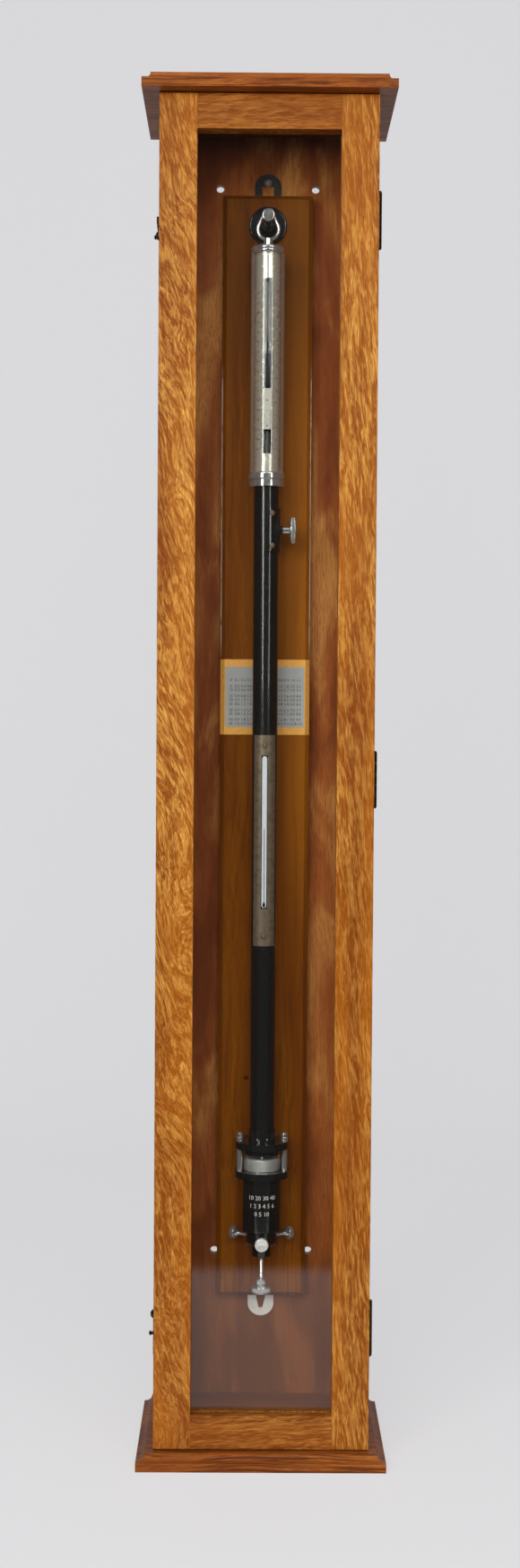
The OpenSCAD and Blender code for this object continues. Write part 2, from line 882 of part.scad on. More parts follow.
module plain_stile(s) {
    difference() {
        translate([s < 0 ? -case_w / 2 : open_x, y_door, z_door0])
            cube([stile_w, door_t, z_door1 - z_door0]);
        pane_cut();
        for (z = [z_door0, open_z1])
            tenon(s, z);
    }
}

module door_stile_left() {
    color(oak)
        difference() {
            plain_stile(-1);
            for (z = [upper_pivot_z, lower_pivot_z])
                translate([-case_w / 2 - cut, catch_y, z - catch_drop])
                    rotate([0, 90, 0])
                        cylinder(r = catch_r + fit_gap, h = catch_depth + cut);
        }
}

module door_stile_right() {
    color(oak)
        difference() {
            plain_stile(1);
            for (z = hinge_z)
                hinge_gain(z, -1);
        }
}

module rail(z0) {
    color(oak) {
        difference() {
            translate([-open_x, y_door, z0])
                cube([2 * open_x, door_t, rail_w]);
            pane_cut();
        }
        for (s = [-1, 1])
            tenon(s, z0);
    }
}

module door_rail_top() {
    rail(open_z1);
}

module door_rail_bottom() {
    rail(z_door0);
}

module door_glass() {
    reach = pane_rabbet - pane_clear;
    color(clear_glass)
        box([-open_x - reach, pane_y, open_z0 - reach], [open_x + reach, pane_y + pane_t, open_z1 + reach]);
}

module glazing_beads() {
    y0 = pane_y + pane_t;
    y1 = y0 + bead_t;
    color(oak) {
        for (s = [0, 1])
            mirror([s, 0, 0])
                box([open_x, y0, open_z0 - pane_rabbet], [open_x + pane_rabbet, y1, open_z1 + pane_rabbet]);
        for (z = [open_z0 - pane_rabbet, open_z1])
            translate([-open_x + fit_gap, y0, z])
                cube([2 * (open_x - fit_gap), bead_t, pane_rabbet]);
    }
}

// Board and what it carries

module mounting_board() {
    color(varnish)
        difference() {
            intersection() {
                translate([0, 0, board_z0])
                    linear_extrude(height = board_h)
                        bevelled(board_w, 0);
                across(-board_w / 2, board_w)
                    translate([0, board_z0])
                        bevelled_side();
            }
            translate([-pilot_left, board_y - cut, board_z0 + pilot_rise])
                rotate([-90, 0, 0])
                    cylinder(r = pilot_r, h = board_t / 2 + cut);
            translate([0, board_y - cut, arm_z])
                rotate([-90, 0, 0])
                    cylinder(r = arm_r + fit_gap, h = arm_depth + cut);
        }
}
arm_depth = 12;

// Section of the board in X and Y, with its two front bevels.
module bevelled(w, lift) {
    polygon([[-w / 2, board_back_y], [-w / 2, board_y + board_bevel - lift],
        [-w / 2 + board_bevel, board_y - lift], [w / 2 - board_bevel, board_y - lift],
        [w / 2, board_y + board_bevel - lift], [w / 2, board_back_y]]);
}

// Section of the board in Y and Z, with the bevels at its ends.
module bevelled_side() {
    polygon([[board_back_y, 0], [board_y + board_bevel, 0], [board_y, board_bevel],
        [board_y, board_h - board_bevel], [board_y + board_bevel, board_h], [board_back_y, board_h]]);
}

module label() {
    color([0.78, 0.54, 0.20])
        translate([0, 0, board_z1 - label_drop - label_h])
            linear_extrude(height = label_h)
                difference() {
                    bevelled(board_w, label_t);
                    bevelled(board_w, 0);
                }
}

module label_card() {
    margin_z = (label_h - card_h) / 2;
    card_x = board_w / 2 - board_bevel - 1;
    color([0.60, 0.60, 0.58])
        box([-card_x, board_y - label_t - card_t, board_z1 - label_drop - margin_z - card_h],
            [card_x, board_y - label_t, board_z1 - label_drop - margin_z]);
}

// Upper hanger: an arched plate whose keyhole hangs on the screw in the back panel.
module upper_hanger() {
    top_z = board_z1 + hanger_out;
    color(black_lacquer)
        translate([0, y_panel, 0])
            rotate([90, 0, 0])
                linear_extrude(height = hanger_t)
                    difference() {
                        union() {
                            translate([-hanger_w / 2, board_z1 - hanger_in])
                                square([hanger_w, hanger_in + hanger_out - hanger_w / 2]);
                            translate([0, top_z - hanger_w / 2])
                                circle(d = hanger_w);
                        }
                        translate([0, hang_screw_z])
                            circle(r = hang_screw_r + run_gap);
                        translate([-hang_screw_r - run_gap, keyhole_z])
                            square([2 * (hang_screw_r + run_gap), hang_screw_z - keyhole_z]);
                        translate([-keyhole_w / 2, board_z1 - hanger_in / 3])
                            square([keyhole_w, keyhole_z - board_z1 + hanger_in / 3]);
                    }
}
keyhole_z = hang_screw_z - hang_screw_r - keyhole_neck;

// Lower hanger: a round-ended plate with a wedge-shaped eye.
module lower_hanger() {
    low_z = board_z0 - hanger_out;
    eye_z1 = board_z0 + hanger_in / 3;
    eye_z0 = low_z + hanger_w * 0.3;
    eye_x = hanger_w * 0.29;
    color(nickel)
        translate([0, y_panel, 0])
            rotate([90, 0, 0])
                linear_extrude(height = hanger_t)
                    difference() {
                        union() {
                            translate([-hanger_w / 2, low_z + hanger_w / 2])
                                square([hanger_w, hanger_in + hanger_out - hanger_w / 2]);
                            translate([0, low_z + hanger_w / 2])
                                circle(d = hanger_w);
                        }
                        polygon([[-eye_x, eye_z1], [eye_x, eye_z1],
                            [eye_x / 4, eye_z0], [-eye_x / 4, eye_z0]]);
                    }
}

module hanging_screw() {
    shank_l = hanger_t + panel_t - hang_hole_floor - cut;
    color(iron)
        translate([0, y_panel - hanger_t, hang_screw_z])
            rotate([90, 0, 0]) {
                slotted_head(hang_head_r, hang_head_r * 0.7);
                translate([0, 0, -shank_l])
                    cylinder(r = hang_screw_r, h = shank_l);
            }
}

// Turned rosette: a flat rim, a hollow and a raised middle round the arm.
module rosette() {
    rim_t = rosette_t * 0.4;
    color(black_lacquer)
        translate([0, board_y, arm_z])
            rotate([90, 0, 0])
                rotate_extrude()
                    translate([arm_r + fit_gap, 0])
                        difference() {
                            union() {
                                square([rosette_r - arm_r - fit_gap, rim_t]);
                                square([rosette_r * 0.35, rosette_t]);
                                translate([rosette_r - arm_r - fit_gap - rim_t / 2, rim_t])
                                    circle(r = rim_t / 2);
                            }
                            translate([rosette_r * 0.35, rosette_t])
                                circle(r = rosette_t * 0.45);
                        }
}

module bracket_arm() {
    arm_l = axis_off + arm_cap_off;
    color(nickel)
        translate([0, board_y + arm_depth, arm_z])
            rotate([90, 0, 0]) {
                cylinder(r = arm_r, h = arm_depth + arm_l);
                translate([0, 0, arm_depth + arm_l])
                    round_disc(arm_cap_r, arm_cap_t, arm_cap_t * 0.3);
            }
}

// Bent wire in X and Z, of radius r about the Y axis, from an angle on.
module wire_arc(r, from, sweep) {
    rotate([90, 0, 0])
        rotate([0, 0, from])
            rotate_extrude(angle = sweep)
                translate([r, 0])
                    circle(r = wire_r);
}

// Pear-shaped ring on the arm with its neck, the swivel pin and the head that carries the barometer.
module suspension_ring() {
    side_l = ring_drop * cos(ring_lean) + 2 * wire_lap;
    color(nickel)
        on_axis() {
            translate([0, 0, ring_z]) {
                wire_arc(ring_r, 180 - ring_lean, 180 + 2 * ring_lean);
                for (s = [0, 1])
                    mirror([s, 0, 0])
                        translate([ring_r * cos(ring_lean), 0, ring_r * sin(ring_lean)])
                            rotate([0, -ring_lean, 0])
                                translate([0, 0, -wire_lap])
                                    cylinder(r = wire_r - wire_step, h = side_l);
            }
            translate([0, 0, arm_z])
                wire_arc(ring_top_r, ring_lean, 180 - 2 * ring_lean);
            difference() {
                translate([0, 0, cap_top_z + turn_gap])
                    cylinder(r = neck_r, h = ring_z - ring_r + wire_r / 2 - cap_top_z - turn_gap);
                translate([0, 0, ring_z])
                    rotate([90, 0, 0])
                        cylinder(r = ring_r - wire_r / 2, h = 4 * neck_r, center = true);
            }
            translate([0, 0, shroud_z1 - cut])
                cylinder(r = swivel_r, h = top_cap_h + 2 * cut + turn_gap);
            translate([0, 0, shroud_z1 - swivel_head_t])
                cylinder(r = swivel_head_r, h = swivel_head_t);
        }
}

// Bracket under the cup: a bevelled ring on an arm with a foot on the board.
module centring_bracket() {
    foot_z = centring_z - foot_h / 2;
    color(black_lacquer)
        difference() {
            union() {
                on_axis()
                    translate([0, 0, centring_z1 - centring_h])
                        rotate_extrude()
                            polygon([[0, 0], [centring_r - centring_bevel, 0], [centring_r, centring_bevel],
                                [centring_r, centring_h], [0, centring_h]]);
                translate([-bracket_w / 2, axis_y + centring_ir, centring_z - bracket_h / 2])
                    cube([bracket_w, axis_off - centring_ir - foot_t / 2, bracket_h]);
                translate([-foot_w / 2, board_y - foot_t, foot_z])
                    cube([foot_w, foot_t, foot_h]);
            }
            on_axis()
                translate([0, 0, centring_z1 - centring_h - cut])
                    cylinder(r = centring_ir, h = centring_h + 2 * cut);
            for (a = [front_angle, left_angle, right_angle])
                on_axis()
                    translate([0, 0, centring_z])
                        rotate([0, 90, a])
                            cylinder(r = thumb_r + run_gap, h = 2 * centring_r);
        }
}

// Thumb screw pointing at the axis, with a flare behind its rounded head.
module thumb_screw(angle) {
    flare_x = thumb_head_x - thumb_flare_l;
    color(nickel)
        on_axis()
            translate([0, 0, centring_z])
                rotate([0, 90, angle]) {
                    translate([0, 0, thumb_tip_x])
                        cylinder(r = thumb_r, h = thumb_head_x - thumb_tip_x);
                    translate([0, 0, flare_x])
                        cylinder(r1 = thumb_r, r2 = thumb_head_r * 0.75, h = thumb_flare_l);
                    translate([0, 0, thumb_head_x])
                        round_disc(thumb_head_r, thumb_head_t, thumb_head_t * 0.25);
                }
}

module centring_screw_front() {
    thumb_screw(front_angle);
}

module centring_screw_left() {
    thumb_screw(left_angle);
}

module centring_screw_right() {
    thumb_screw(right_angle);
}

// Upper tube of the barometer

// Top cap with a beaded rim and a spigot in the scale tube.
module top_cap() {
    spigot_l = 8;
    bead_r = top_cap_h * 0.3;
    color(nickel)
        on_axis()
            difference() {
                union() {
                    translate([0, 0, shroud_z1])
                        rotate_extrude()
                            union() {
                                square([top_cap_r - bead_r, top_cap_h]);
                                translate([0, bead_r])
                                    square([top_cap_r - bead_r * 0.4, top_cap_h - 2 * bead_r]);
                                for (z = [bead_r, top_cap_h - bead_r])
                                    translate([top_cap_r - bead_r, z])
                                        circle(r = bead_r);
                            }
                    ring(scale_ir - fit_gap, 0, shroud_z1 - spigot_l, shroud_z1 + cut);
                }
                ring(swivel_r + run_gap, 0, shroud_z1 - cut, cap_top_z + cut);
                ring(swivel_head_r + swivel_room, 0, shroud_z1 - spigot_l - cut, shroud_z1);
            }
}

module glass_shroud() {
    color(clear_glass)
        on_axis()
            ring(shroud_r, shroud_r - shroud_t, collar_z, shroud_z1);
}

module scale_tube() {
    color(silvered)
        on_axis()
            difference() {
                ring(scale_r, scale_ir, seat_z, shroud_z1);
                box([-slot_w / 2, -2 * scale_r, seat_z + slot_rise],
                    [slot_w / 2, 2 * scale_r, seat_z + slot_rise + slot_l]);
            }
}

// Collar that joins scale tube, shroud and body tube.
module lower_collar() {
    color(nickel)
        on_axis() {
            difference() {
                translate([0, 0, seat_z])
                    round_disc(collar_r, collar_h, collar_h * 0.25);
                ring(scale_r + fit_gap, 0, seat_z - cut, collar_z + cut);
            }
            ring(collar_step_r, tube_r + fit_gap, seat_z - collar_step_h, seat_z);
        }
}

module body_tube() {
    color(black_lacquer)
        on_axis()
            difference() {
                ring(tube_r, tube_ir, flange_z, seat_z);
                translate([tube_ir - cut, 0, knob_z])
                    rotate([0, 90, 0])
                        cylinder(r = pinion_tip_r + slide_gap, h = tube_t + 2 * cut);
                stem(stem_r + fit_gap);
                for (z = housing_screw_z)
                    tube_screw_at(z, housing_screw_angle, tube_screw_bore_r);
                for (z = therm_screw_z)
                    tube_screw_at(z, front_angle, tube_screw_bore_r);
            }
}
housing_screw_z = [for (s = [-1, 1]) knob_z + s * (housing_h / 2 - housing_screw_in)];
housing_screw_angle = housing_screw_turn - housing_half;
tube_screw_bore_r = tube_screw_r / 2 + fit_gap;
therm_z1 = seat_z - therm_drop;
therm_z0 = therm_z1 - therm_l;
therm_screw_z = [therm_z0 + therm_screw_in, therm_z1 - therm_screw_in];

// Round bar of radius r that points out of the barometer's axis at an angle and a height.
module tube_screw_at(z, angle, r) {
    translate([0, 0, z])
        rotate([0, 90, angle])
            translate([0, 0, tube_ir - cut])
                cylinder(r = r, h = tube_t + 2 * cut + housing_t);
}

module barometer_tube() {
    color(clear_glass)
        on_axis()
            difference() {
                union() {
                    ring(glass_r, 0, glass_tube_z0, glass_tube_z1 - glass_r);
                    translate([0, 0, glass_tube_z1 - glass_r])
                        sphere(r = glass_r);
                }
                ring(bore_r, 0, glass_tube_z0 - cut, glass_tube_z1 - glass_r);
                translate([0, 0, glass_tube_z1 - glass_r])
                    sphere(r = bore_r);
            }
}

// Mercury in the glass tube, with its domed top.
module mercury_column() {
    column_r = bore_r - fit_gap;
    dome_h = column_r * 0.4;
    color(mercury)
        on_axis() {
            ring(column_r, 0, glass_tube_z0, read_z - dome_h);
            translate([0, 0, read_z - dome_h])
                dome(column_r, dome_h, dome_h / 2);
        }
}

// Cork rings that hold the glass tube in the body tube, below the rack's reach.
module tube_packing() {
    color([0.62, 0.45, 0.28])
        on_axis()
            for (z = [flange_z, (flange_z + rack_z0 - travel_down - cork_h) / 2])
                ring(tube_ir - fit_gap, glass_r + fit_gap, z, z + cork_h);
}

// Saddle on the tube that carries the bearing of the pinion.
module pinion_housing() {
    inner = tube_r + fit_gap;
    outer = inner + housing_t;
    color(black_lacquer)
        on_axis()
            difference() {
                union() {
                    intersection() {
                        ring(outer, inner, knob_z - housing_h / 2, knob_z + housing_h / 2);
                        sector(0, housing_half, 2 * outer, knob_z - housing_h, knob_z + housing_h);
                    }
                    difference() {
                        translate([tube_ir, 0, knob_z])
                            rotate([0, 90, 0])
                                cylinder(r = boss_r, h = boss_x - tube_ir);
                        ring(inner, 0, knob_z - housing_h, knob_z + housing_h);
                    }
                }
                translate([0, 0, knob_z])
                    rotate([0, 90, 0])
                        cylinder(r = arbor_r + run_gap, h = boss_x + cut);
                for (z = housing_screw_z)
                    tube_screw_at(z, housing_screw_angle, tube_screw_bore_r);
            }
}

// Round-headed screws of the housing and of the thermometer plate.
module tube_screws() {
    color(iron)
        on_axis() {
            for (z = housing_screw_z)
                tube_screw(z, housing_screw_angle, tube_r + fit_gap + housing_t);
            for (z = therm_screw_z)
                tube_screw(z, front_angle, tube_r + fit_gap + therm_t);
        }
}

module tube_screw(z, angle, seat) {
    translate([0, 0, z])
        rotate([0, 90, angle]) {
            translate([0, 0, tube_ir])
                cylinder(r = tube_screw_r / 2, h = seat - tube_ir + cut / 2);
            translate([0, 0, seat])
                slotted_head(tube_screw_r, tube_screw_r * 0.6);
        }
}

// Curved plate on the front of the tube, with a slot for the thermometer.
module thermometer_plate() {
    inner = tube_r + fit_gap;
    slot_z = therm_z0 + therm_slot_rise;
    color([0.47, 0.42, 0.35])
        on_axis()
            difference() {
                intersection() {
                    ring(inner + therm_t, inner, therm_z0, therm_z1);
                    sector(front_angle, therm_half, 2 * tube_r, therm_z0 - cut, therm_z1 + cut);
                }
                box([-therm_slot_w / 2, -2 * tube_r, slot_z], [therm_slot_w / 2, 0, slot_z + therm_slot_l]);
                for (z = therm_screw_z)
                    tube_screw_at(z, front_angle, tube_screw_bore_r);
            }
}

// Stem of the thermometer, lying in a groove of the body tube.
module stem(r) {
    stem_y = -(tube_ir + stem_r + groove_floor);
    stem_z = therm_z0 + therm_slot_rise + stem_r;
    stem_l = therm_slot_l - 2 * stem_r;
    translate([0, stem_y, stem_z]) {
        cylinder(r = r, h = stem_l);
        for (z = [0, stem_l])
            translate([0, 0, z])
                sphere(r = r);
    }
}

module thermometer() {
    color(clear_glass)
        on_axis()
            stem(stem_r);
}

// Cistern

// Where the four pillars stand, two on each side.
module at_pillars() {
    for (a = [-pillar_angle, pillar_angle, 180 - pillar_angle, 180 + pillar_angle])
        rotate([0, 0, a])
            translate([pillar_circle_r, 0, 0])
                children();
}

module cistern_top_flange() {
    color(black_lacquer)
        on_axis()
            difference() {
                union() {
                    ring(socket_r, 0, flange_z - cut, flange_z + socket_h);
                    ring(flange_r, 0, step_z, flange_z);
                    ring(step_r, 0, glass_z1, step_z + cut);
                }
                ring(tube_r + fit_gap, 0, flange_z, flange_z + socket_h + cut);
                ring(glass_r + slide_gap, 0, glass_z1 - cut, flange_z + cut);
                at_pillars()
                    ring(pillar_r + fit_gap, 0, step_z - cut, flange_z + cut);
            }
}

module cistern_glass() {
    color(clear_glass)
        on_axis()
            ring(cistern_glass_r, cistern_ir, glass_z0, glass_z1);
}

module cistern_pillars() {
    color(nickel)
        on_axis()
            at_pillars() {
                ring(pillar_r, 0, cup_z1, flange_z + cut);
                translate([0, 0, flange_z])
                    round_disc(pillar_head_r, pillar_head_h, pillar_head_h * 0.2);
            }
}

module cistern_bottom_flange() {
    color(black_lacquer)
        on_axis()
            difference() {
                ring(flange_r, bag_r - bag_t, cup_z1, glass_z0);
                at_pillars()
                    ring(pillar_r + fit_gap, 0, cup_z1 - cut, glass_z0 + cut);
            }
}

// Cup that guards the bag, with the boss that the adjusting screw works in.
module cistern_cup() {
    color(black_lacquer)
        on_axis()
            difference() {
                union() {
                    ring(cup_r, 0, cup_z0, cup_z1);
                    translate([0, 0, cup_z0])
                        round_disc(lip_r, lip_h, lip_h * 0.3);
                    ring(end_boss_r, 0, boss_z0, cup_z0 + cut);
                }
                ring(cup_r - cup_t, 0, cup_z0 + cup_floor, cup_z1 + cut);
                ring(screw_r + run_gap, 0, boss_z0 - cut, cup_z0 + cup_floor + cut);
            }
}

// Mercury in the glass cistern and in the bag, round the end of the glass tube.
module cistern_mercury() {
    mouth_r = bag_r - bag_t - fit_gap;
    foot_r = bag_foot_r - bag_t - fit_gap;
    color(mercury)
        on_axis()
            difference() {
                rotate_extrude()
                    polygon([[0, bag_z0 + bag_t], [foot_r, bag_z0 + bag_t], [mouth_r, cup_z1 - bag_neck],
                        [mouth_r, glass_z0], [pool_r, glass_z0], [pool_r, level_z], [0, level_z]]);
                ring(glass_r + fit_gap, 0, glass_tube_z0, level_z + cut);
            }
}
bag_neck = 6;

// Pointer whose tip marks the zero of the scale, just above the mercury.
module ivory_pointer() {
    pointer_l = glass_z1 - level_z - slide_gap;
    color([0.92, 0.88, 0.76])
        on_axis()
            translate([0, -pointer_off, glass_z1 - pointer_l])
                cylinder(r1 = pointer_r * 0.2, r2 = pointer_r, h = pointer_l);
}

// Leather bag that closes the cistern from below.
module leather_bag() {
    color([0.74, 0.60, 0.42])
        on_axis()
            rotate_extrude()
                polygon([[0, bag_z0], [bag_foot_r, bag_z0], [bag_r, cup_z1 - bag_neck], [bag_r, cup_z1],
                    [bag_r - bag_t, cup_z1], [bag_r - bag_t, cup_z1 - bag_neck],
                    [bag_foot_r - bag_t, bag_z0 + bag_t], [0, bag_z0 + bag_t]]);
}

// Vernier and its drive

// Sleeve whose lower edge is set to the top of the mercury.
module vernier_sleeve() {
    color(black_lacquer)
        on_axis()
            difference() {
                ring(sleeve_r, sleeve_r - sleeve_t, read_z, read_z + sleeve_l);
                box([pinion_x, rack_tip_v, read_z - cut], [pinion_x + pinion_w, rack_back_v, rack_z1]);
            }
}

// Vernier plate on the front of the sleeve, standing in the slot.
module vernier_plate() {
    color([0.86, 0.84, 0.80])
        on_axis()
            difference() {
                box([-vernier_w / 2, -scale_r - vernier_out, read_z],
                    [vernier_w / 2, 0, read_z + vernier_l]);
                ring(sleeve_r, 0, read_z - cut, read_z + vernier_l + cut);
            }
}

// Involute function of an angle, in radians.
function involute(a) = tan(a) - a * PI / 180;

// Half of the angle that a pinion tooth spans at a radius.
function tooth_half(r) =
    ((tooth_pitch / 2 - tooth_play / 2) / (2 * pinion_r)
        + involute(pressure_angle) - involute(acos(min(1, pinion_base_r / r)))) * 180 / PI;

// Radii of the points along one flank, from root to tip.
flank_steps = 6;
flank_radii = concat([pinion_root_r],
    [for (i = [0:flank_steps]) pinion_base_r + (pinion_tip_r - pinion_base_r) * i / flank_steps]);

// Outline of the pinion with one tooth pointing along +X.
function pinion_points() = [for (k = [0:pinion_teeth - 1], side = [-1, 1], i = [0:flank_steps + 1])
    let (r = flank_radii[side < 0 ? i : flank_steps + 1 - i],
        a = 360 * k / pinion_teeth + side * tooth_half(r))
        r * [cos(a), sin(a)]];

// Pinion on its arbor, which runs out to the knob.
module vernier_pinion() {
    color([0.72, 0.60, 0.30])
        on_axis()
            translate([0, 0, knob_z]) {
                across(pinion_x, pinion_w)
                    polygon(pinion_points());
                translate([pinion_x + pinion_w / 2, 0, 0])
                    rotate([0, 90, 0])
                        cylinder(r = arbor_r, h = arbor_x1 - pinion_x - pinion_w / 2);
            }
}
hub_x = boss_x + turn_gap;
arbor_x1 = hub_x + hub_l + knob_t / 2;

// Outline of the rack's teeth and bar in Y and Z. A gap of the teeth lies at the pinion's height.
function rack_points() =
    let (half = (tooth_pitch / 2 - tooth_play / 2) / 2,
        tip = half - (pinion_r - rack_tip_v) * tan(pressure_angle),
        root = half + (rack_root_v - pinion_r) * tan(pressure_angle),
        first = ceil((rack_z0 - knob_z) / tooth_pitch),
        last = floor((rack_teeth_z1 - knob_z) / tooth_pitch) - 1)
    concat([[rack_back_v, rack_z0], [rack_root_v, rack_z0]],
        [for (k = [first:last],
            p = [[rack_root_v, -root], [rack_tip_v, -tip], [rack_tip_v, tip], [rack_root_v, root]])
            [p[0], knob_z + (k + 0.5) * tooth_pitch + p[1]]],
        [[rack_root_v, rack_z1], [rack_back_v, rack_z1]]);

module vernier_rack() {
    color([0.72, 0.60, 0.30])
        on_axis()
            across(pinion_x, pinion_w)
                polygon(rack_points());
}

// Milled knob on the end of the arbor.
module vernier_knob() {
    color(nickel)
        on_axis()
            translate([hub_x, 0, knob_z])
                rotate([0, 90, 0])
                    difference() {
                        union() {
                            cylinder(r = hub_r, h = hub_l + cut);
                            translate([0, 0, hub_l])
                                round_disc(knob_r, knob_t, knob_t * 0.3);
                        }
                        translate([0, 0, -cut])
                            cylinder(r = arbor_r + fit_gap, h = arbor_x1 - hub_x + cut);
                    }
}

// Adjusting screw

// Button that lifts the bag.
module bag_button() {
    color([0.62, 0.45, 0.28])
        on_axis()
            translate([0, 0, button_z1 - button_t])
                round_disc(button_r, button_t, button_t * 0.3);
}

module adjusting_screw() {
    wheel_z = boss_z0 - screw_out - nut_h - wheel_h;
    color(nickel)
        on_axis() {
            ring(screw_r, 0, wheel_z + wheel_h, button_z1 - button_t);
            ring(nut_r, 0, wheel_z + wheel_h - cut, wheel_z + wheel_h + nut_h);
            translate([0, 0, wheel_z])
                round_disc(wheel_r, wheel_h, wheel_h * 0.15);
        }
}

plinth();
case_floor();
side_left();
side_right();
cap();
back_panel();
hinge_case_leaves();
hinge_pins();
hook_pivot_screws();
mounting_board();
upper_hanger();
lower_hanger();
hanging_screw();
label();
label_card();
rosette();
bracket_arm();
suspension_ring();
centring_bracket();
door_stile_left();
door_stile_right();
door_rail_top();
door_rail_bottom();
door_glass();
glazing_beads();
hinge_door_leaves();
catch_pins();
upper_hook();
lower_hook();
top_cap();
glass_shroud();
scale_tube();
lower_collar();
body_tube();
barometer_tube();
mercury_column();
tube_packing();
pinion_housing();
tube_screws();
thermometer_plate();
thermometer();
cistern_top_flange();
cistern_glass();
cistern_pillars();
cistern_bottom_flange();
cistern_cup();
cistern_mercury();
ivory_pointer();
leather_bag();
vernier_sleeve();
vernier_plate();
vernier_rack();
vernier_pinion();
vernier_knob();
bag_button();
adjusting_screw();
centring_screw_front();
centring_screw_left();
centring_screw_right();
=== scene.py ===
"""Looks of a cistern barometer that hangs in a glazed oak case.

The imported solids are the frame. They keep their shapes and get procedural finishes, and the pieces made
here add what the solids leave out: scales and numbers, milled edges, the leather bag and the mercury in it.
Lengths are in metres, in the frame of the solids: X to the right, Y to the back, Z up.
"""

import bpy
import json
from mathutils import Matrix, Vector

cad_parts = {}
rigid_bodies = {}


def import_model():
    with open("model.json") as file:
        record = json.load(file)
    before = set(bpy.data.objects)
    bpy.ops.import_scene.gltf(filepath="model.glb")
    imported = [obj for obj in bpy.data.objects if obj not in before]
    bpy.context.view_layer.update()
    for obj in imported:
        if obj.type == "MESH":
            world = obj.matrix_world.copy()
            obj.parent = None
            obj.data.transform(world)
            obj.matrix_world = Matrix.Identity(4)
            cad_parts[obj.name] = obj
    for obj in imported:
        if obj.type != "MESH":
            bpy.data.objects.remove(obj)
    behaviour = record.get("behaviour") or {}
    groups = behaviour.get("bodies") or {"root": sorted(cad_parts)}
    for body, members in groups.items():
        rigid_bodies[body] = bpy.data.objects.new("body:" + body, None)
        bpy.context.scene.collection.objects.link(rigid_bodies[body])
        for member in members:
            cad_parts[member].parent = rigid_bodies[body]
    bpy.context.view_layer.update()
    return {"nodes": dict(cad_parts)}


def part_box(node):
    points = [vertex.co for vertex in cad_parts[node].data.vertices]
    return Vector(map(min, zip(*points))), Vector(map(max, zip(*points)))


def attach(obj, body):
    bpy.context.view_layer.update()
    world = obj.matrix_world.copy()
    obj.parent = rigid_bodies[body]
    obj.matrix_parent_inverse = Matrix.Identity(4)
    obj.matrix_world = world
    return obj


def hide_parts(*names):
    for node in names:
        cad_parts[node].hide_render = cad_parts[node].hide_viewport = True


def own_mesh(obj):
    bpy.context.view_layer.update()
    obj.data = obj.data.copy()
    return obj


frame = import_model()

import json
import logging
import math
from dataclasses import dataclass
from enum import Enum
from typing import Callable, Optional, Sequence

import bmesh
import bpy
import numpy as np
from mathutils import Matrix, Vector

LOG = logging.getLogger("barometer")
MM = 0.001
FRONT = -math.pi / 2
UP, RIGHT, AHEAD = Vector((0, 0, 1)), Vector((1, 0, 0)), Vector((0, -1, 0))
Colour = Sequence[float]
Piece = bpy.types.Object
Node = bpy.types.Node
Socket = bpy.types.NodeSocket
Material = bpy.types.Material
World = bpy.types.World
Places = Callable[[np.ndarray, np.ndarray, np.ndarray], np.ndarray]
Ripple = Callable[[np.ndarray], np.ndarray]


class Grain(Enum):
    """Axis that the grain of a board follows."""

    LEVEL = 0
    UPRIGHT = 2


def linear(red: int, green: int, blue: int) -> tuple[float, float, float, float]:
    """Turns a screen colour of 0 to 255 into linear light.

    Args:
        red: red of the screen colour.
        green: green of the screen colour.
        blue: blue of the screen colour.

    Returns:
        The linear colour with an alpha of 1.
    """
    share = np.array([red, green, blue], float) / 255
    light = np.where(share <= 0.04045, share / 12.92, ((share + 0.055) / 1.055) ** 2.4)
    return (*light.tolist(), 1.0)


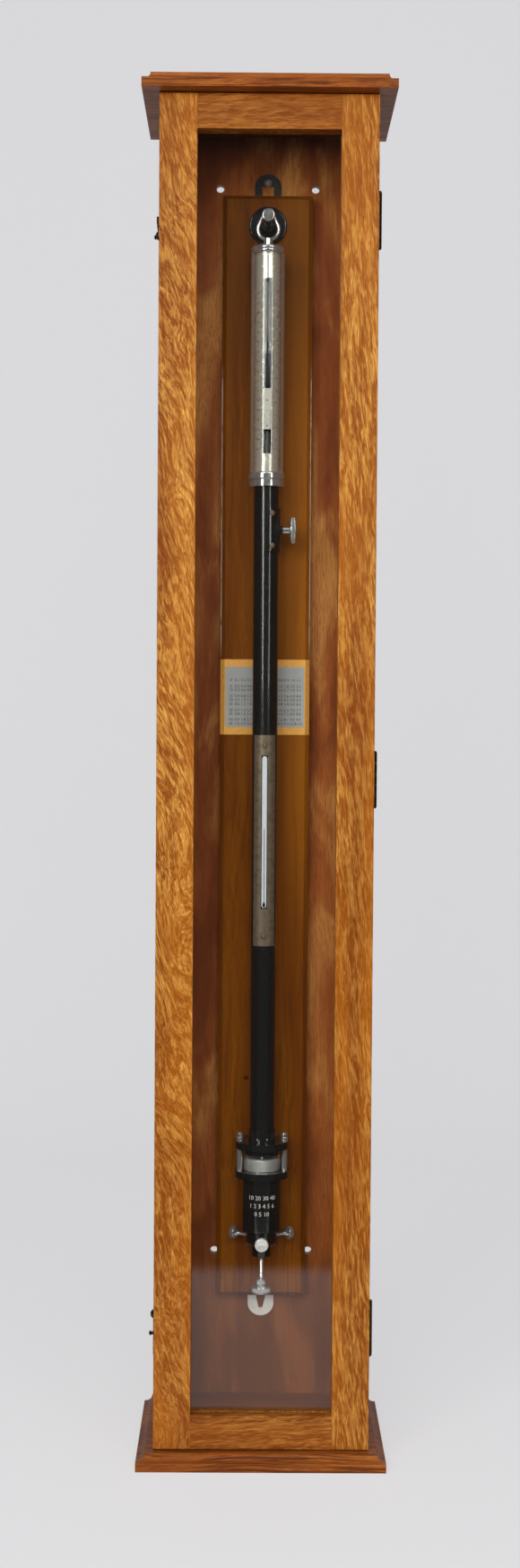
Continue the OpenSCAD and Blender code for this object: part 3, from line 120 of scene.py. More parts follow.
class Paint:
    """Node tree of a material or the world, with short calls for the nodes that repeat."""

    def __init__(self, name: str, world: bool = False) -> None:
        """Starts an empty node tree.

        Args:
            name: name of the material or world.
            world: whether it is a world.
        """
        self.owner = (bpy.data.worlds if world else bpy.data.materials).new(name)
        self.owner.use_nodes = True
        self.tree = self.owner.node_tree
        self.tree.nodes.clear()
        self.output = self.add("OutputWorld" if world else "OutputMaterial")
        self.place = self.add("TexCoord").outputs["Object"]

    def add(self, kind: str, inputs: Optional[dict] = None, **settings: object) -> Node:
        """Adds a shader node.

        Args:
            kind: the node's type without its usual prefix.
            inputs: its inputs by name or number, each a socket that feeds it or a constant.
            **settings: properties of the node itself.

        Returns:
            The new node.
        """
        node = self.tree.nodes.new("ShaderNode" + kind)
        for key, value in settings.items():
            setattr(node, key, value)
        for key, value in (inputs or {}).items():
            if isinstance(value, Socket):
                self.tree.links.new(value, node.inputs[key])
            else:
                node.inputs[key].default_value = value
        return node

    def mapped(self, vector: Socket, scale: Sequence[float] = (1, 1, 1),
               turn: Sequence[float] = (0, 0, 0)) -> Socket:
        """Coordinate scaled along each axis, then turned about each, in radians."""
        return self.add("Mapping", {"Scale": scale, "Rotation": turn, "Vector": vector}).outputs["Vector"]

    def noise(self, vector: Socket, scale: float | Sequence[float], detail: float = 2.0,
              distortion: float = 0.0, output: str = "Fac") -> Socket:
        """Smooth noise.

        Args:
            vector: the coordinate that it reads.
            scale: features per metre, one number or another along each axis.
            detail: number of finer layers.
            distortion: how far it is bent by itself.
            output: the socket wanted.

        Returns:
            The noise's socket.
        """
        if isinstance(scale, tuple):
            vector, scale = self.mapped(vector, scale), 1.0
        inputs = {"Scale": scale, "Detail": detail, "Distortion": distortion, "Vector": vector}
        return self.add("TexNoise", inputs).outputs[output]

    def fade(self, value: Socket, low: float, high: float, out_low: float = 0.0,
             out_high: float = 1.0) -> Socket:
        """Maps the range from low to high smoothly onto another range, clamped."""
        inputs = {0: value, 1: low, 2: high, 3: out_low, 4: out_high}
        return self.add("MapRange", inputs, interpolation_type="SMOOTHSTEP").outputs[0]

    def math(self, operation: str, first: Socket, second: Socket | float = 0.0) -> Socket:
        """Joins a value with another, or with a number, by a sum, product or the like."""
        return self.add("Math", {0: first, 1: second}, operation=operation).outputs[0]

    def times(self, first: Socket, second: Socket | float) -> Socket:
        """Product of a value and another, or a number."""
        return self.math("MULTIPLY", first, second)

    def mix(self, share: Socket, first: Socket | Colour, second: Socket | Colour) -> Socket:
        """Mixes two colours by the share of the second."""
        return self.add("Mix", {0: share, 6: first, 7: second}, data_type="RGBA").outputs[2]

    def blend(self, share: Socket, first: Node, second: Node) -> Node:
        """Mixes two shaders by the share of the second."""
        return self.add("MixShader", {0: share, 1: first.outputs[0], 2: second.outputs[0]})

    def bump(self, height: Socket, depth: float, strength: float, normal: Optional[Socket] = None) -> Socket:
        """Normal bumped by a height of 0 to 1 that stands for a depth, on top of another normal."""
        inputs = {"Strength": strength, "Distance": depth, "Height": height}
        if normal is not None:
            inputs["Normal"] = normal
        return self.add("Bump", inputs).outputs["Normal"]

    def part(self, name: str) -> Socket:
        """X, Y or Z of the place."""
        return self.add("SeparateXYZ", {0: self.place}).outputs[name]

    def soft_edges(self, radius: float) -> Socket:
        """Normal that rounds sharp edges by a radius."""
        return self.add("Bevel", {"Radius": radius}, samples=4).outputs["Normal"]

    def end(self, shader: Node) -> Material | World:
        """Ends the tree in a shader and gives the finished material or world."""
        self.tree.links.new(shader.outputs[0], self.output.inputs["Surface"])
        return self.owner

    def surface(self, colour: Socket, rough: Socket, normal: Socket, **more: float) -> Material:
        """Ends the tree in a principled surface.

        Args:
            colour: its base colour.
            rough: its roughness.
            normal: its normal.
            **more: constants of further inputs, with _ for each space in their names.

        Returns:
            The finished material.
        """
        inputs = {"Base Color": colour, "Roughness": rough, "Normal": normal}
        inputs.update({name.replace("_", " "): value for name, value in more.items()})
        return self.end(self.add("BsdfPrincipled", inputs))


@dataclass(frozen=True)
class Oak:
    """Varnished oak: fibres, open pores, and the pale ray flecks of a quarter-sawn face."""

    name: str
    grain: Grain
    dark: Colour
    mid: Colour
    pale: Colour
    fleck: float = 0.8
    lean: float = 0.07
    sway: float = 0.016
    waist: float = 0.8
    roughness: float = 0.42
    coat: float = 0.06
    sheen: float = 0.1
    # Share of the pale clouds, which are painted glints, and of the dark stain clouds, and where along Y they
    # end at the back.
    mottle: float = 0.0
    mottle_ends: tuple[float, float] = (0.084, 0.09)
    # Colours of the stain clouds and of the darker, greyer foot, which is painted shade.
    stain: Colour = linear(96, 44, 20)
    dust: Colour = linear(104, 70, 30)
    # Painted light: the board's upper right is made lighter, as if lit from the left; this is its share and
    # colour.
    sapwood: float = 0.0
    sap: Colour = linear(196, 120, 26)
    # Painted shade: colour of the board's top, darkened as if under the cap.
    head: Colour = linear(64, 28, 0)
    # Painted highlight along the board's front arrises: where it lies, and its pale colour.
    worn: Optional[tuple[float, float, float, float]] = None
    bare: Colour = linear(236, 224, 200)
    streak: float = 0.0
    band: Colour = linear(74, 32, 10)
    arris: float = 0.9 * MM

    def along(self, across: float, length: float) -> tuple[float, ...]:
        """Scale of a pattern, from its features per metre across the grain and along it."""
        return tuple(length if axis == self.grain.value else across for axis in range(3))

    def flecks(self, paint: Paint, bent: Socket) -> Socket:
        """Ray flecks: two sizes of leaning streaks that come and go along the board, strongest at its waist.

        Args:
            paint: the tree that they belong to.
            bent: coordinate that follows the grain.

        Returns:
            Share of the pale colour.
        """
        leant = paint.mapped(bent, turn=(0, self.lean, 0))
        large = paint.fade(paint.noise(leant, self.along(260, 34), 2.5, 0.9), 0.42, 0.63, 0.0, 0.58)
        small = paint.fade(paint.noise(leant, self.along(800, 90), 2.0, 0.6), 0.45, 0.67, 0.0, 0.42)
        patch = paint.fade(paint.noise(bent, self.along(14, 5), 1.0), 0.34, 0.6, 0.5)
        from_waist = paint.math("ABSOLUTE", paint.math("SUBTRACT", paint.part("Z"), self.waist))
        golden = paint.fade(from_waist, 0.15, 0.55, self.fleck, 0.68 * self.fleck)
        return paint.times(paint.times(paint.math("ADD", large, small), patch), golden)

    def clouded(self, paint: Paint, bent: Socket, colour: Socket) -> Socket:
        """Inside the case: pale clouds painted on as glints of light, fewer towards the foot; dark clouds of
        the wood's stain, deepened towards the foot by painted shade; and a greyer foot, also painted shade;
        its back is plain.

        Args:
            paint: the tree that they belong to.
            bent: coordinate that follows the grain.
            colour: the wood's colour so far.

        Returns:
            The clouded colour.
        """
        height, inside = paint.part("Z"), paint.fade(paint.part("Y"), *self.mottle_ends, 1.0, 0.12)
        # Painted shade: the cloud is lowered towards the foot, so the stain clouds grow there.
        cloud = paint.math("SUBTRACT", paint.noise(bent, self.along(24, 7), 3.0, 0.7),
                           paint.fade(height, 0.05, 0.3, 0.12, 0.0))
        # Painted glints: pale clouds, fewer towards the foot. Then the stain clouds, and painted shade that
        # greys the foot.
        painted_glint = paint.times(paint.fade(height, 0.1, 0.4, 0.25, self.mottle), paint.fade(cloud, 0.48, 0.68))
        shade = paint.fade(cloud, 0.3, 0.48, self.mottle, 0.0)
        foot_shade = paint.fade(height, 0.06, 0.24, 0.5, 0.0)
        for share, tint in ((painted_glint, self.pale), (shade, self.stain), (foot_shade, self.dust)):
            colour = paint.mix(paint.times(share, inside), colour, tint)
        return colour

    def worn_edge(self, paint: Paint) -> Socket:
        """Painted highlight: a pale line along a board's two long front edges, where their arrises catch the
        light.

        Args:
            paint: the tree that it belongs to.

        Returns:
            Share of the painted highlight.
        """
        half, front, low, high = self.worn
        end, wide, soft = 30 * MM, 1.2 * MM, 0.4 * MM
        side = paint.fade(paint.math("ABSOLUTE", paint.part("X")), half - wide, half - soft)
        ahead = paint.fade(paint.part("Y"), front + soft, front)
        height = paint.part("Z")
        length = paint.times(paint.fade(height, low, low + end),
                             paint.fade(height, high - end, high, 1.0, 0.0))
        patch = paint.fade(paint.noise(paint.place, (3.0, 3.0, 60.0)), 0.3, 0.5, 0.25)
        return paint.times(paint.times(side, ahead), paint.times(length, patch))

    def make(self) -> Material:
        """Builds the material.

        Returns:
            The material.
        """
        paint = Paint(self.name)
        drift = paint.noise(paint.place, self.along(16, 7), 1.0, output="Color")
        moved = paint.add("VectorMath", {0: drift, 1: (self.sway,) * 3}, operation="MULTIPLY").outputs[0]
        bent = paint.add("VectorMath", {0: paint.place, 1: moved}, operation="ADD").outputs[0]
        tone = paint.fade(paint.noise(bent, self.along(34, 1.9), 3.0, 0.4), 0.32, 0.66)
        fibre = paint.noise(bent, self.along(1000, 18), 3.0)
        pore = paint.fade(paint.noise(bent, self.along(1700, 90), 1.0), 0.58, 0.7)
        colour = paint.mix(self.flecks(paint, bent), paint.mix(tone, self.dark, self.mid), self.pale)
        if self.mottle:
            colour = self.clouded(paint, bent, colour)
        colour = paint.mix(paint.fade(fibre, 0.3, 0.7, 0.5, 0.0), colour, self.dark)
        colour = paint.mix(paint.times(pore, 0.7), colour, self.dark)
        if self.streak:
            band = paint.fade(paint.noise(bent, self.along(330, 7), 2.0, 0.5), 0.5, 0.66)
            colour = paint.mix(paint.times(band, self.streak), colour, self.band)
        if self.sapwood:
            height = paint.part("Z")
            # Painted light: the upper right of the board lighter, as if lit from the left.
            right = paint.times(paint.fade(paint.part("X"), -0.005, 0.04), paint.fade(height, 0.45, 0.7))
            colour = paint.mix(paint.times(right, self.sapwood), colour, self.sap)
            # Painted shade: the board darker towards its top, as if the cap shades it.
            colour = paint.mix(paint.fade(height, 1.0, 1.27, 0.0, 0.5), colour, self.head)
        # Painted highlight: a pale line where the board's front arrises catch the light.
        if self.worn:
            colour = paint.mix(self.worn_edge(paint), colour, self.bare)
        normal = paint.bump(paint.math("SUBTRACT", fibre, pore), 0.15 * MM, 0.3, paint.soft_edges(self.arris))
        rough = paint.fade(fibre, 0.2, 0.8, self.roughness - 0.05, self.roughness + 0.1)
        return paint.surface(colour, rough, normal, Coat_Weight=self.coat, Coat_Roughness=0.12,
                             Specular_IOR_Level=self.sheen)


@dataclass(frozen=True)
class Metal:
    """Plated, cut or bronzed metal with faint tarnish and hairline polishing marks."""

    name: str
    bright: Colour
    dull: Colour
    roughness: float = 0.16
    tarnish: float = 0.35
    edge: float = 0.2 * MM
    metallic: float = 1.0

    def make(self) -> Material:
        """Builds the material.

        Returns:
            The material.
        """
        paint = Paint(self.name)
        cloud = paint.fade(paint.noise(paint.place, 160, 4.0), 0.42, 0.7)
        lines = paint.noise(paint.place, (300, 300, 3500), 1.0)
        colour = paint.mix(paint.times(cloud, self.tarnish), self.bright, self.dull)
        rough = paint.fade(cloud, 0.0, 1.0, self.roughness, self.roughness + 0.12)
        normal = paint.bump(lines, 0.02 * MM, 0.12, paint.soft_edges(self.edge))
        return paint.surface(colour, rough, normal, Metallic=self.metallic)


@dataclass(frozen=True)
class Lacquer:
    """Baked black lacquer with a fine orange peel and a trace of dust."""

    name: str
    colour: Colour
    worn: Colour
    roughness: float = 0.16
    peel: float = 0.001 * MM

    def make(self) -> Material:
        """Builds the material.

        Returns:
            The material.
        """
        paint = Paint(self.name)
        dust = paint.fade(paint.noise(paint.place, 420, 5.0), 0.5, 0.8)
        colour = paint.mix(paint.times(dust, 0.3), self.colour, self.worn)
        rough = paint.fade(dust, 0.0, 1.0, self.roughness, self.roughness + 0.14)
        normal = paint.bump(paint.noise(paint.place, 1400), self.peel, 0.15, paint.soft_edges(0.4 * MM))
        return paint.surface(colour, rough, normal, Coat_Weight=0.5, Coat_Roughness=0.04)


@dataclass(frozen=True)
class Matt:
    """Plain absorbent surface such as card, leather, cork or ink, with mottling and a fine grain."""

    name: str
    colour: Colour
    spot: Colour
    grain: float = 900
    amount: float = 0.35
    roughness: float = 0.6
    relief: float = 0.08 * MM

    def make(self) -> Material:
        """Builds the material.

        Returns:
            The material.
        """
        paint = Paint(self.name)
        spots = paint.fade(paint.noise(paint.place, self.grain, 4.0), 0.4, 0.68)
        cloud = paint.fade(paint.noise(paint.place, self.grain / 18), 0.35, 0.7)
        share = paint.times(paint.math("ADD", spots, cloud), self.amount / 2)
        rough = paint.fade(spots, 0.0, 1.0, self.roughness - 0.05, self.roughness + 0.1)
        colour = paint.mix(share, self.colour, self.spot)
        return paint.surface(colour, rough, paint.bump(spots, self.relief, 0.4))


@dataclass(frozen=True)
class Glass:
    """Thin clear glass that shows what lies behind and mirrors more towards its edges, with a pale band
    painted on there as a reflection.
    """

    name: str
    tint: Colour
    gloss: float = 0.9
    haze: float = 0.01
    # Painted reflection: share of a pale band towards the edges, its colour, and the facing where it starts.
    edge_light: float = 0.0
    edge_colour: Colour = linear(214, 208, 194)
    edge_from: float = 0.4
    straight_on: float = 0.035

    def make(self) -> Material:
        """Builds the material.

        The share that it mirrors is small straight on, and grows with the fifth power of the slant.

        Returns:
            The material.
        """
        paint = Paint(self.name)
        film = paint.fade(paint.noise(paint.place, 35, 3.0), 0.3, 0.75, self.haze, self.haze * 4)
        mirror = paint.add("BsdfGlossy", {"Color": (1, 1, 1, 1), "Roughness": film})
        clear = paint.add("BsdfTransparent", {"Color": self.tint})
        facing = paint.add("LayerWeight", {"Blend": 0.5}).outputs["Facing"]
        steep = paint.times(paint.math("POWER", facing, 5.0), self.gloss * (1 - self.straight_on))
        share = paint.math("ADD", steep, self.gloss * self.straight_on)
        # Painted reflection: a pale diffuse band towards the edges stands for lit walls mirrored in the glass.
        glow = paint.add("BsdfDiffuse", {"Color": self.edge_colour})
        gathered = paint.fade(facing, self.edge_from, self.edge_from + 0.15, 0.0, self.edge_light)
        return paint.end(paint.blend(share, paint.blend(gathered, clear, glow), mirror))


@dataclass(frozen=True)
class ThickGlass:
    """Thick glass that bends what lies in it, while lamp light passes through it to what it covers."""

    name: str
    tint: Colour
    index: float = 1.47

    def make(self) -> Material:
        """Builds the material.

        Returns:
            The material.
        """
        paint = Paint(self.name)
        film = paint.fade(paint.noise(paint.place, 240, 3.0), 0.4, 0.75, 0.0, 0.05)
        body = paint.add("BsdfPrincipled", {"Base Color": self.tint, "Transmission Weight": 1.0,
                                            "IOR": self.index, "Roughness": film})
        clear = paint.add("BsdfTransparent", {"Color": self.tint})
        return paint.end(paint.blend(paint.add("LightPath").outputs["Is Shadow Ray"], body, clear))


class Finishes:
    """The finishes of all pieces, made once and shared."""

    def __init__(self) -> None:
        """Builds each material under the name it is asked for by."""
        oak = dict(dark=linear(120, 56, 8), mid=linear(160, 90, 20), pale=linear(226, 168, 78))
        dark_oak = dict(dark=linear(132, 64, 26), mid=linear(172, 98, 44), pale=linear(222, 156, 82))
        clear = (0.97, 0.975, 0.97, 1)
        kinds = [
            Oak("oak_upright", Grain.UPRIGHT, **oak, fleck=1.0, lean=0.12),
            Oak("oak_figured", Grain.UPRIGHT, **oak, fleck=1.0, lean=0.3, sway=0.055),
            Oak("oak_level", Grain.LEVEL, linear(104, 48, 12), linear(150, 80, 28), linear(200, 132, 58),
                fleck=0.55, lean=0.04, streak=0.8),
            Oak("oak_rail", Grain.LEVEL, linear(102, 47, 9), linear(142, 76, 20), linear(206, 142, 62),
                lean=0.1, waist=0.3),
            # Inside the case: painted glints and painted shade towards the foot over the wood's stain clouds.
            Oak("dark_oak_upright", Grain.UPRIGHT, **dark_oak, fleck=0.12, mottle=0.75),
            Oak("dark_oak_level", Grain.LEVEL, **dark_oak, fleck=0.1, mottle=0.3),
            # The board carries painted light on its upper right, painted shade towards its top, and a painted
            # highlight along its front edges.
            Oak("board", Grain.UPRIGHT, linear(110, 54, 0), linear(144, 82, 2), linear(162, 98, 10),
                fleck=0.12, sapwood=0.35, streak=0.35, worn=self.board_edges()),
            Lacquer("black_lacquer", linear(23, 23, 22), linear(52, 50, 47)),
            Lacquer("grey_lacquer", linear(52, 52, 50), linear(84, 82, 78), roughness=0.4),
            Metal("nickel", linear(224, 224, 222), linear(160, 156, 150), 0.07, metallic=0.85),
            Metal("matt_nickel", linear(250, 248, 242), linear(222, 218, 210), 0.42, metallic=0.1),
            # Painted light: a brighter, more diffuse copy of the nickel, given to the front thumb screw to
            # look lit.
            Metal("lit_nickel", linear(240, 239, 235), linear(186, 183, 176), 0.2, metallic=0.45),
            Metal("silvered", linear(230, 224, 208), linear(190, 178, 158), 0.2, tarnish=0.2, metallic=0.6),
            Metal("plate", linear(130, 116, 96), linear(96, 84, 66), 0.4, tarnish=0.6, metallic=0.6),
            Metal("steel", linear(206, 204, 200), linear(120, 116, 110), 0.3, metallic=0.7),
            Metal("old_brass", linear(150, 128, 96), linear(96, 80, 58), 0.34, tarnish=0.6, metallic=0.6),
            Metal("bronzed", linear(58, 46, 38), linear(30, 24, 20), 0.34, tarnish=0.6),
            Metal("brass", linear(206, 168, 92), linear(150, 112, 54), 0.2),
            Metal("mercury", linear(158, 158, 155), linear(128, 128, 124), 0.34, metallic=0.5),
            Glass("pane", clear),
            # The tube glass carries the painted edge reflection.
            Glass("tube_glass", clear, edge_light=0.22),
            Glass("inner_glass", (0.9, 0.91, 0.89, 1), gloss=1.0),
            ThickGlass("cistern_glass", clear),
            Matt("amber", linear(248, 182, 84), linear(228, 156, 60), 260, roughness=0.3),
            Matt("grey_card", linear(182, 184, 182), linear(156, 158, 156), 1200),
            Matt("enamel", linear(208, 202, 189), linear(184, 177, 163), 1500, 0.2, roughness=0.35),
            Matt("milk_glass", linear(220, 223, 230), linear(198, 201, 208), 1500, 0.2, roughness=0.2),
            Matt("ink", linear(22, 21, 20), linear(44, 42, 40), 2500, relief=0.01 * MM),
            Matt("white_ink", linear(206, 204, 198), linear(168, 166, 160), 2500, relief=0.01 * MM),
            Matt("ivory", linear(232, 224, 198), linear(204, 190, 156), 700, roughness=0.35),
            Matt("cork", linear(158, 114, 70), linear(104, 70, 40), 500, 0.8, relief=0.3 * MM),
            Matt("kid_leather", linear(178, 142, 100), linear(128, 94, 60), 1400, 0.5, relief=0.2 * MM),
        ]
        self.materials = {kind.name: kind.make() for kind in kinds}

    @staticmethod
    def board_edges() -> tuple[float, float, float, float]:
        """Where the hanging board's painted edge highlight lies: half its width, its bevel's foot, and the two
        end heights.
        """
        low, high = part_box("mounting_board")
        return (high.x - low.x) / 2, low.y + 5.3 * MM, 0.815, 1.135

    def put(self, piece: Piece, name: str) -> None:
        """Gives a piece, a new one or a solid of the frame, the finish of that name."""
        piece.data.materials.clear()
        piece.data.materials.append(self.materials[name])


@dataclass(frozen=True)
class Axis:
    """A line that pieces are turned about, with the direction across it that angles start from."""

    origin: Vector
    along: Vector
    across: Vector

    def points(self, radius: np.ndarray, angle: np.ndarray, height: np.ndarray) -> np.ndarray:
        """Turns cylinder coordinates into places: origin + height along the axis + radius at the angle.

        Args:
            radius: distance from the axis.
            angle: angle from the direction across.
            height: distance along the axis.

        Returns:
            Array of places with a last side of three.
        """
        other = self.along.cross(self.across)
        radius, angle, height = np.broadcast_arrays(radius, angle, height)
        return (np.array(self.origin) + height[..., None] * np.array(self.along)
                + (radius * np.cos(angle))[..., None] * np.array(self.across)
                + (radius * np.sin(angle))[..., None] * np.array(other))


def middle(node: str) -> Vector:
    """Middle of a solid's box."""
    low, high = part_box(node)
    return (low + high) / 2


def half_width(node: str) -> float:
    """Half of a solid's width along X."""
    low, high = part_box(node)
    return (high.x - low.x) / 2


def upright_axis(node: str = "body_tube") -> Axis:
    """Upright axis through a solid, the barometer's own by default, with heights from the floor."""
    centre = middle(node)
    return Axis(Vector((centre.x, centre.y, 0)), UP, RIGHT)


def outward(degrees: float) -> Vector:
    """Level direction at an angle from +X."""
    return Vector((math.cos(math.radians(degrees)), math.sin(math.radians(degrees)), 0))


def wrapped(radius: float) -> Places:
    """Surface round the barometer, of side round it from its front line, height, and depth outwards."""
    axis = upright_axis()
    return lambda side, up, out: axis.points(radius + out, FRONT + side / radius, up)


def flat(front: float) -> Places:
    """Flat surface that faces the front at a place along Y, of side, height, and depth outwards."""
    return lambda side, up, out: np.stack(np.broadcast_arrays(side, front - out, up), -1)


def mesh_piece(name: str, points: np.ndarray, faces: np.ndarray, smooth: bool = True) -> Piece:
    """Makes a piece from arrays, with doubles merged and faces turned outwards.

    Args:
        name: the piece's name.
        points: array of places.
        faces: array of point numbers, one row for each face.
        smooth: whether its faces are shaded smooth.

    Returns:
        The new piece, linked to the scene.
    """
    mesh = bpy.data.meshes.new(name)
    mesh.from_pydata(points.reshape(-1, 3).tolist(), [], faces.tolist())
    work = bmesh.new()
    work.from_mesh(mesh)
    bmesh.ops.remove_doubles(work, verts=work.verts, dist=1e-7)
    bmesh.ops.recalc_face_normals(work, faces=work.faces)
    work.to_mesh(mesh)
    work.free()
    mesh.polygons.foreach_set("use_smooth", np.full(len(mesh.polygons), smooth))
    if smooth:
        mesh.set_sharp_from_angle(angle=math.radians(35))
    piece = bpy.data.objects.new(name, mesh)
    bpy.context.scene.collection.objects.link(piece)
    return piece


def grid_faces(rows: int, columns: int, wrap_rows: bool = False, wrap_columns: bool = False) -> np.ndarray:
    """Four-sided faces between neighbours of a grid of points.

    Args:
        rows: points along the first side.
        columns: points along the second side.
        wrap_rows: whether the last row joins the first.
        wrap_columns: whether the last column joins the first.

    Returns:
        Array of point numbers, four to a row.
    """
    row, column = np.meshgrid(np.arange(rows if wrap_rows else rows - 1),
                              np.arange(columns if wrap_columns else columns - 1), indexing="ij")
    next_row, next_column = (row + 1) % rows, (column + 1) % columns
    corners = [row * columns + column, next_row * columns + column,
               next_row * columns + next_column, row * columns + next_column]
    return np.stack(corners, -1).reshape(-1, 4)


def turned(name: str, axis: Axis, profile: np.ndarray, steps: int, ripple: Optional[Ripple] = None) -> Piece:
    """Turned piece: a closed profile of radius and height is carried once round an axis.

    Args:
        name: the piece's name.
        axis: the axis that it is turned about.
        profile: rows of radius, height and, with a ripple, its weight there.
        steps: points round the axis.
        ripple: what is taken off the radius at an angle, for a weight of 1.

    Returns:
        The new piece.
    """
    angle = np.linspace(0, 2 * math.pi, steps, endpoint=False)[:, None]
    radius = profile[None, :, 0] + np.zeros_like(angle)
    if ripple is not None:
        radius = radius - ripple(angle) * profile[None, :, 2]
    points = axis.points(np.maximum(radius, 0), angle, profile[None, :, 1])
    return mesh_piece(name, points, grid_faces(steps, len(profile), True, True))


def milled(name: str, axis: Axis, profile: np.ndarray, ridges: int) -> Piece:
    """Turned piece with rounded ridges and narrow valleys, whose depth is the profile's third column."""
    return turned(name, axis, profile, 6 * ridges,
                  lambda angle: 1 - np.abs(np.sin(ridges * angle / 2)) ** 0.6)


def quarter(rows: int) -> np.ndarray:
    """Angles of a quarter circle, from nothing to a right angle."""
    return np.linspace(0, math.pi / 2, rows)


def rounded(radius: float, low: float, high: float, edge: float, depth: float, rim_rows: int) -> np.ndarray:
    """Part of a profile: a rim from a low to a high place, with rounded edges and a milled middle.

    Args:
        radius: radius of the rim.
        low: where the rim starts.
        high: where the rim ends.
        edge: radius of its edges.
        depth: depth of the milling.
        rim_rows: rows along the milled middle.

    Returns:
        Rows of radius, height and depth of the milling.
    """
    turn = quarter(6)
    start = np.stack([radius - edge + edge * np.sin(turn), low + edge - edge * np.cos(turn), 0 * turn], -1)
    rim = np.linspace(low + edge, high - edge, rim_rows)
    fade = np.clip(np.minimum(rim - low - edge, high - edge - rim) / (0.25 * edge + 1e-6), 0, 1)
    band = np.stack([np.full(rim_rows, radius), rim, depth * fade], -1)
    return np.concatenate([start, band, start[::-1] * [1, -1, 1] + [0, low + high, 0]])


def dished(radius: float, face: float, insets: Sequence[float], depths: Sequence[float]) -> list:
    """Part of a profile: a face that falls between two insets from its rim, by one depth and to another."""
    return [[radius - insets[0], face, 0], [radius - insets[1], face - depths[0], 0],
            [0, face - depths[1], 0]]


def threaded(shank: float, low: float, high: float, pitch: float, depth: float) -> np.ndarray:
    """Part of a profile: a threaded shank, with four rows to each thread.

    Args:
        shank: radius over the thread.
        low: where the thread starts.
        high: where the thread ends.
        pitch: distance between threads.
        depth: depth of the thread.

    Returns:
        Rows of radius, height and no milling.
    """
    rise = np.arange(low, high, pitch / 4)
    cut = depth * np.tile([0, 0.5, 1, 0.5], len(rise) // 4 + 1)[:len(rise)]
    return np.stack([shank - cut, rise, 0 * rise], -1)


def small_screw(name: str, axis: Axis, radius: float) -> Piece:
    """Round-headed screw: a dome of a third of its width in height, on a short shank.

    Args:
        name: the screw's name.
        axis: where it sits, along the way that it faces.
        radius: radius of its head.

    Returns:
        The screw.
    """
    turn = quarter(7)
    dome = np.stack([radius * np.cos(turn), 0.6 * radius * np.sin(turn)], -1)
    return turned(name, axis, np.concatenate([[[0, -0.3 * radius], [radius, -0.3 * radius]], dome]), 24)


def mark_lengths(number: np.ndarray, ten: int, sizes: Sequence[float]) -> np.ndarray:
    """Lengths of a scale's marks: of three sizes the longest at each ten, and the next half way."""
    return np.select([number % ten == 0, number % (ten // 2) == 0], sizes[:2], sizes[2])


def spans(start: np.ndarray | float, end: np.ndarray | float) -> np.ndarray:
    """Start and end of each mark, one row for each."""
    return np.stack(np.broadcast_arrays(start, end), -1)


def slabs(name: str, places: Places, side: np.ndarray, rise: np.ndarray, mark: float, ink: float,
          columns: int = 2) -> Piece:
    """Many thin marks in one piece, each a closed slab that follows a surface.

    Args:
        name: the piece's name.
        places: turns side, height and depth into places.
        side: start and end of each mark along the surface.
        rise: height of each mark's middle line.
        mark: width of a mark.
        ink: how far it reaches into the surface and out of it.
        columns: points along a mark.

    Returns:
        The new piece.
    """
    along = side[:, :1] + (side[:, 1:] - side[:, :1]) * np.linspace(0, 1, columns)
    up = rise[:, None] + np.array([-1, -1, 1, 1]) * mark / 2
    out = np.array([-1, 1, 1, -1]) * ink
    points = places(along[:, :, None], up[:, None, :], out)
    count = 4 * columns
    ends = [np.arange(4), np.arange(count - 1, count - 5, -1)]
    one = np.concatenate([grid_faces(columns, 4, wrap_columns=True), ends])
    faces = one[None] + (np.arange(len(side)) * count)[:, None, None]
    return mesh_piece(name, points, faces.reshape(-1, 4), smooth=False)


def number_points(text: str, size: float, thick: float, align: str) -> tuple[np.ndarray, np.ndarray]:
    """Flat solid letters as arrays, lying in X and Y with their fronts at +Z.

    Args:
        text: the plain number.
        size: height of the type.
        thick: thickness of the letters.
        align: which end lies at X = 0.

    Returns:
        Array of places and array of triangles.
    """
    curve = bpy.data.curves.new(text, "FONT")
    curve.body, curve.size, curve.extrude, curve.resolution_u = text, size, thick / 2, 2
    curve.align_x, curve.align_y = align, "CENTER"
    holder = bpy.data.objects.new(text, curve)
    mesh = bpy.data.meshes.new_from_object(holder)
    mesh.calc_loop_triangles()
    points = np.empty(len(mesh.vertices) * 3)
    mesh.vertices.foreach_get("co", points)
    faces = np.empty(len(mesh.loop_triangles) * 3, int)
    mesh.loop_triangles.foreach_get("vertices", faces)
    for block, store in ((holder, bpy.data.objects), (curve, bpy.data.curves), (mesh, bpy.data.meshes)):
        store.remove(block)
    return points.reshape(-1, 3), faces.reshape(-1, 3)


def lettering(name: str, rows: Sequence[tuple[str, float, float]], size: float, thick: float, align: str,
              places: Places) -> Piece:
    """Many plain numbers in one piece.

    Args:
        name: the piece's name.
        rows: each number with its place along the surface and in height.
        size: height of the type.
        thick: thickness of the ink.
        align: which end of a number lies at its place.
        places: turns side, height and depth into places.

    Returns:
        The new piece.
    """
    points, faces, count = [], [], 0
    for text, side, height in rows:
        letters, triangles = number_points(text, size, thick, align)
        points.append(places(letters[:, 0] + side, letters[:, 1] + height, letters[:, 2]))
        faces.append(triangles + count)
        count += len(letters)
    return mesh_piece(name, np.concatenate(points), np.concatenate(faces), smooth=False)


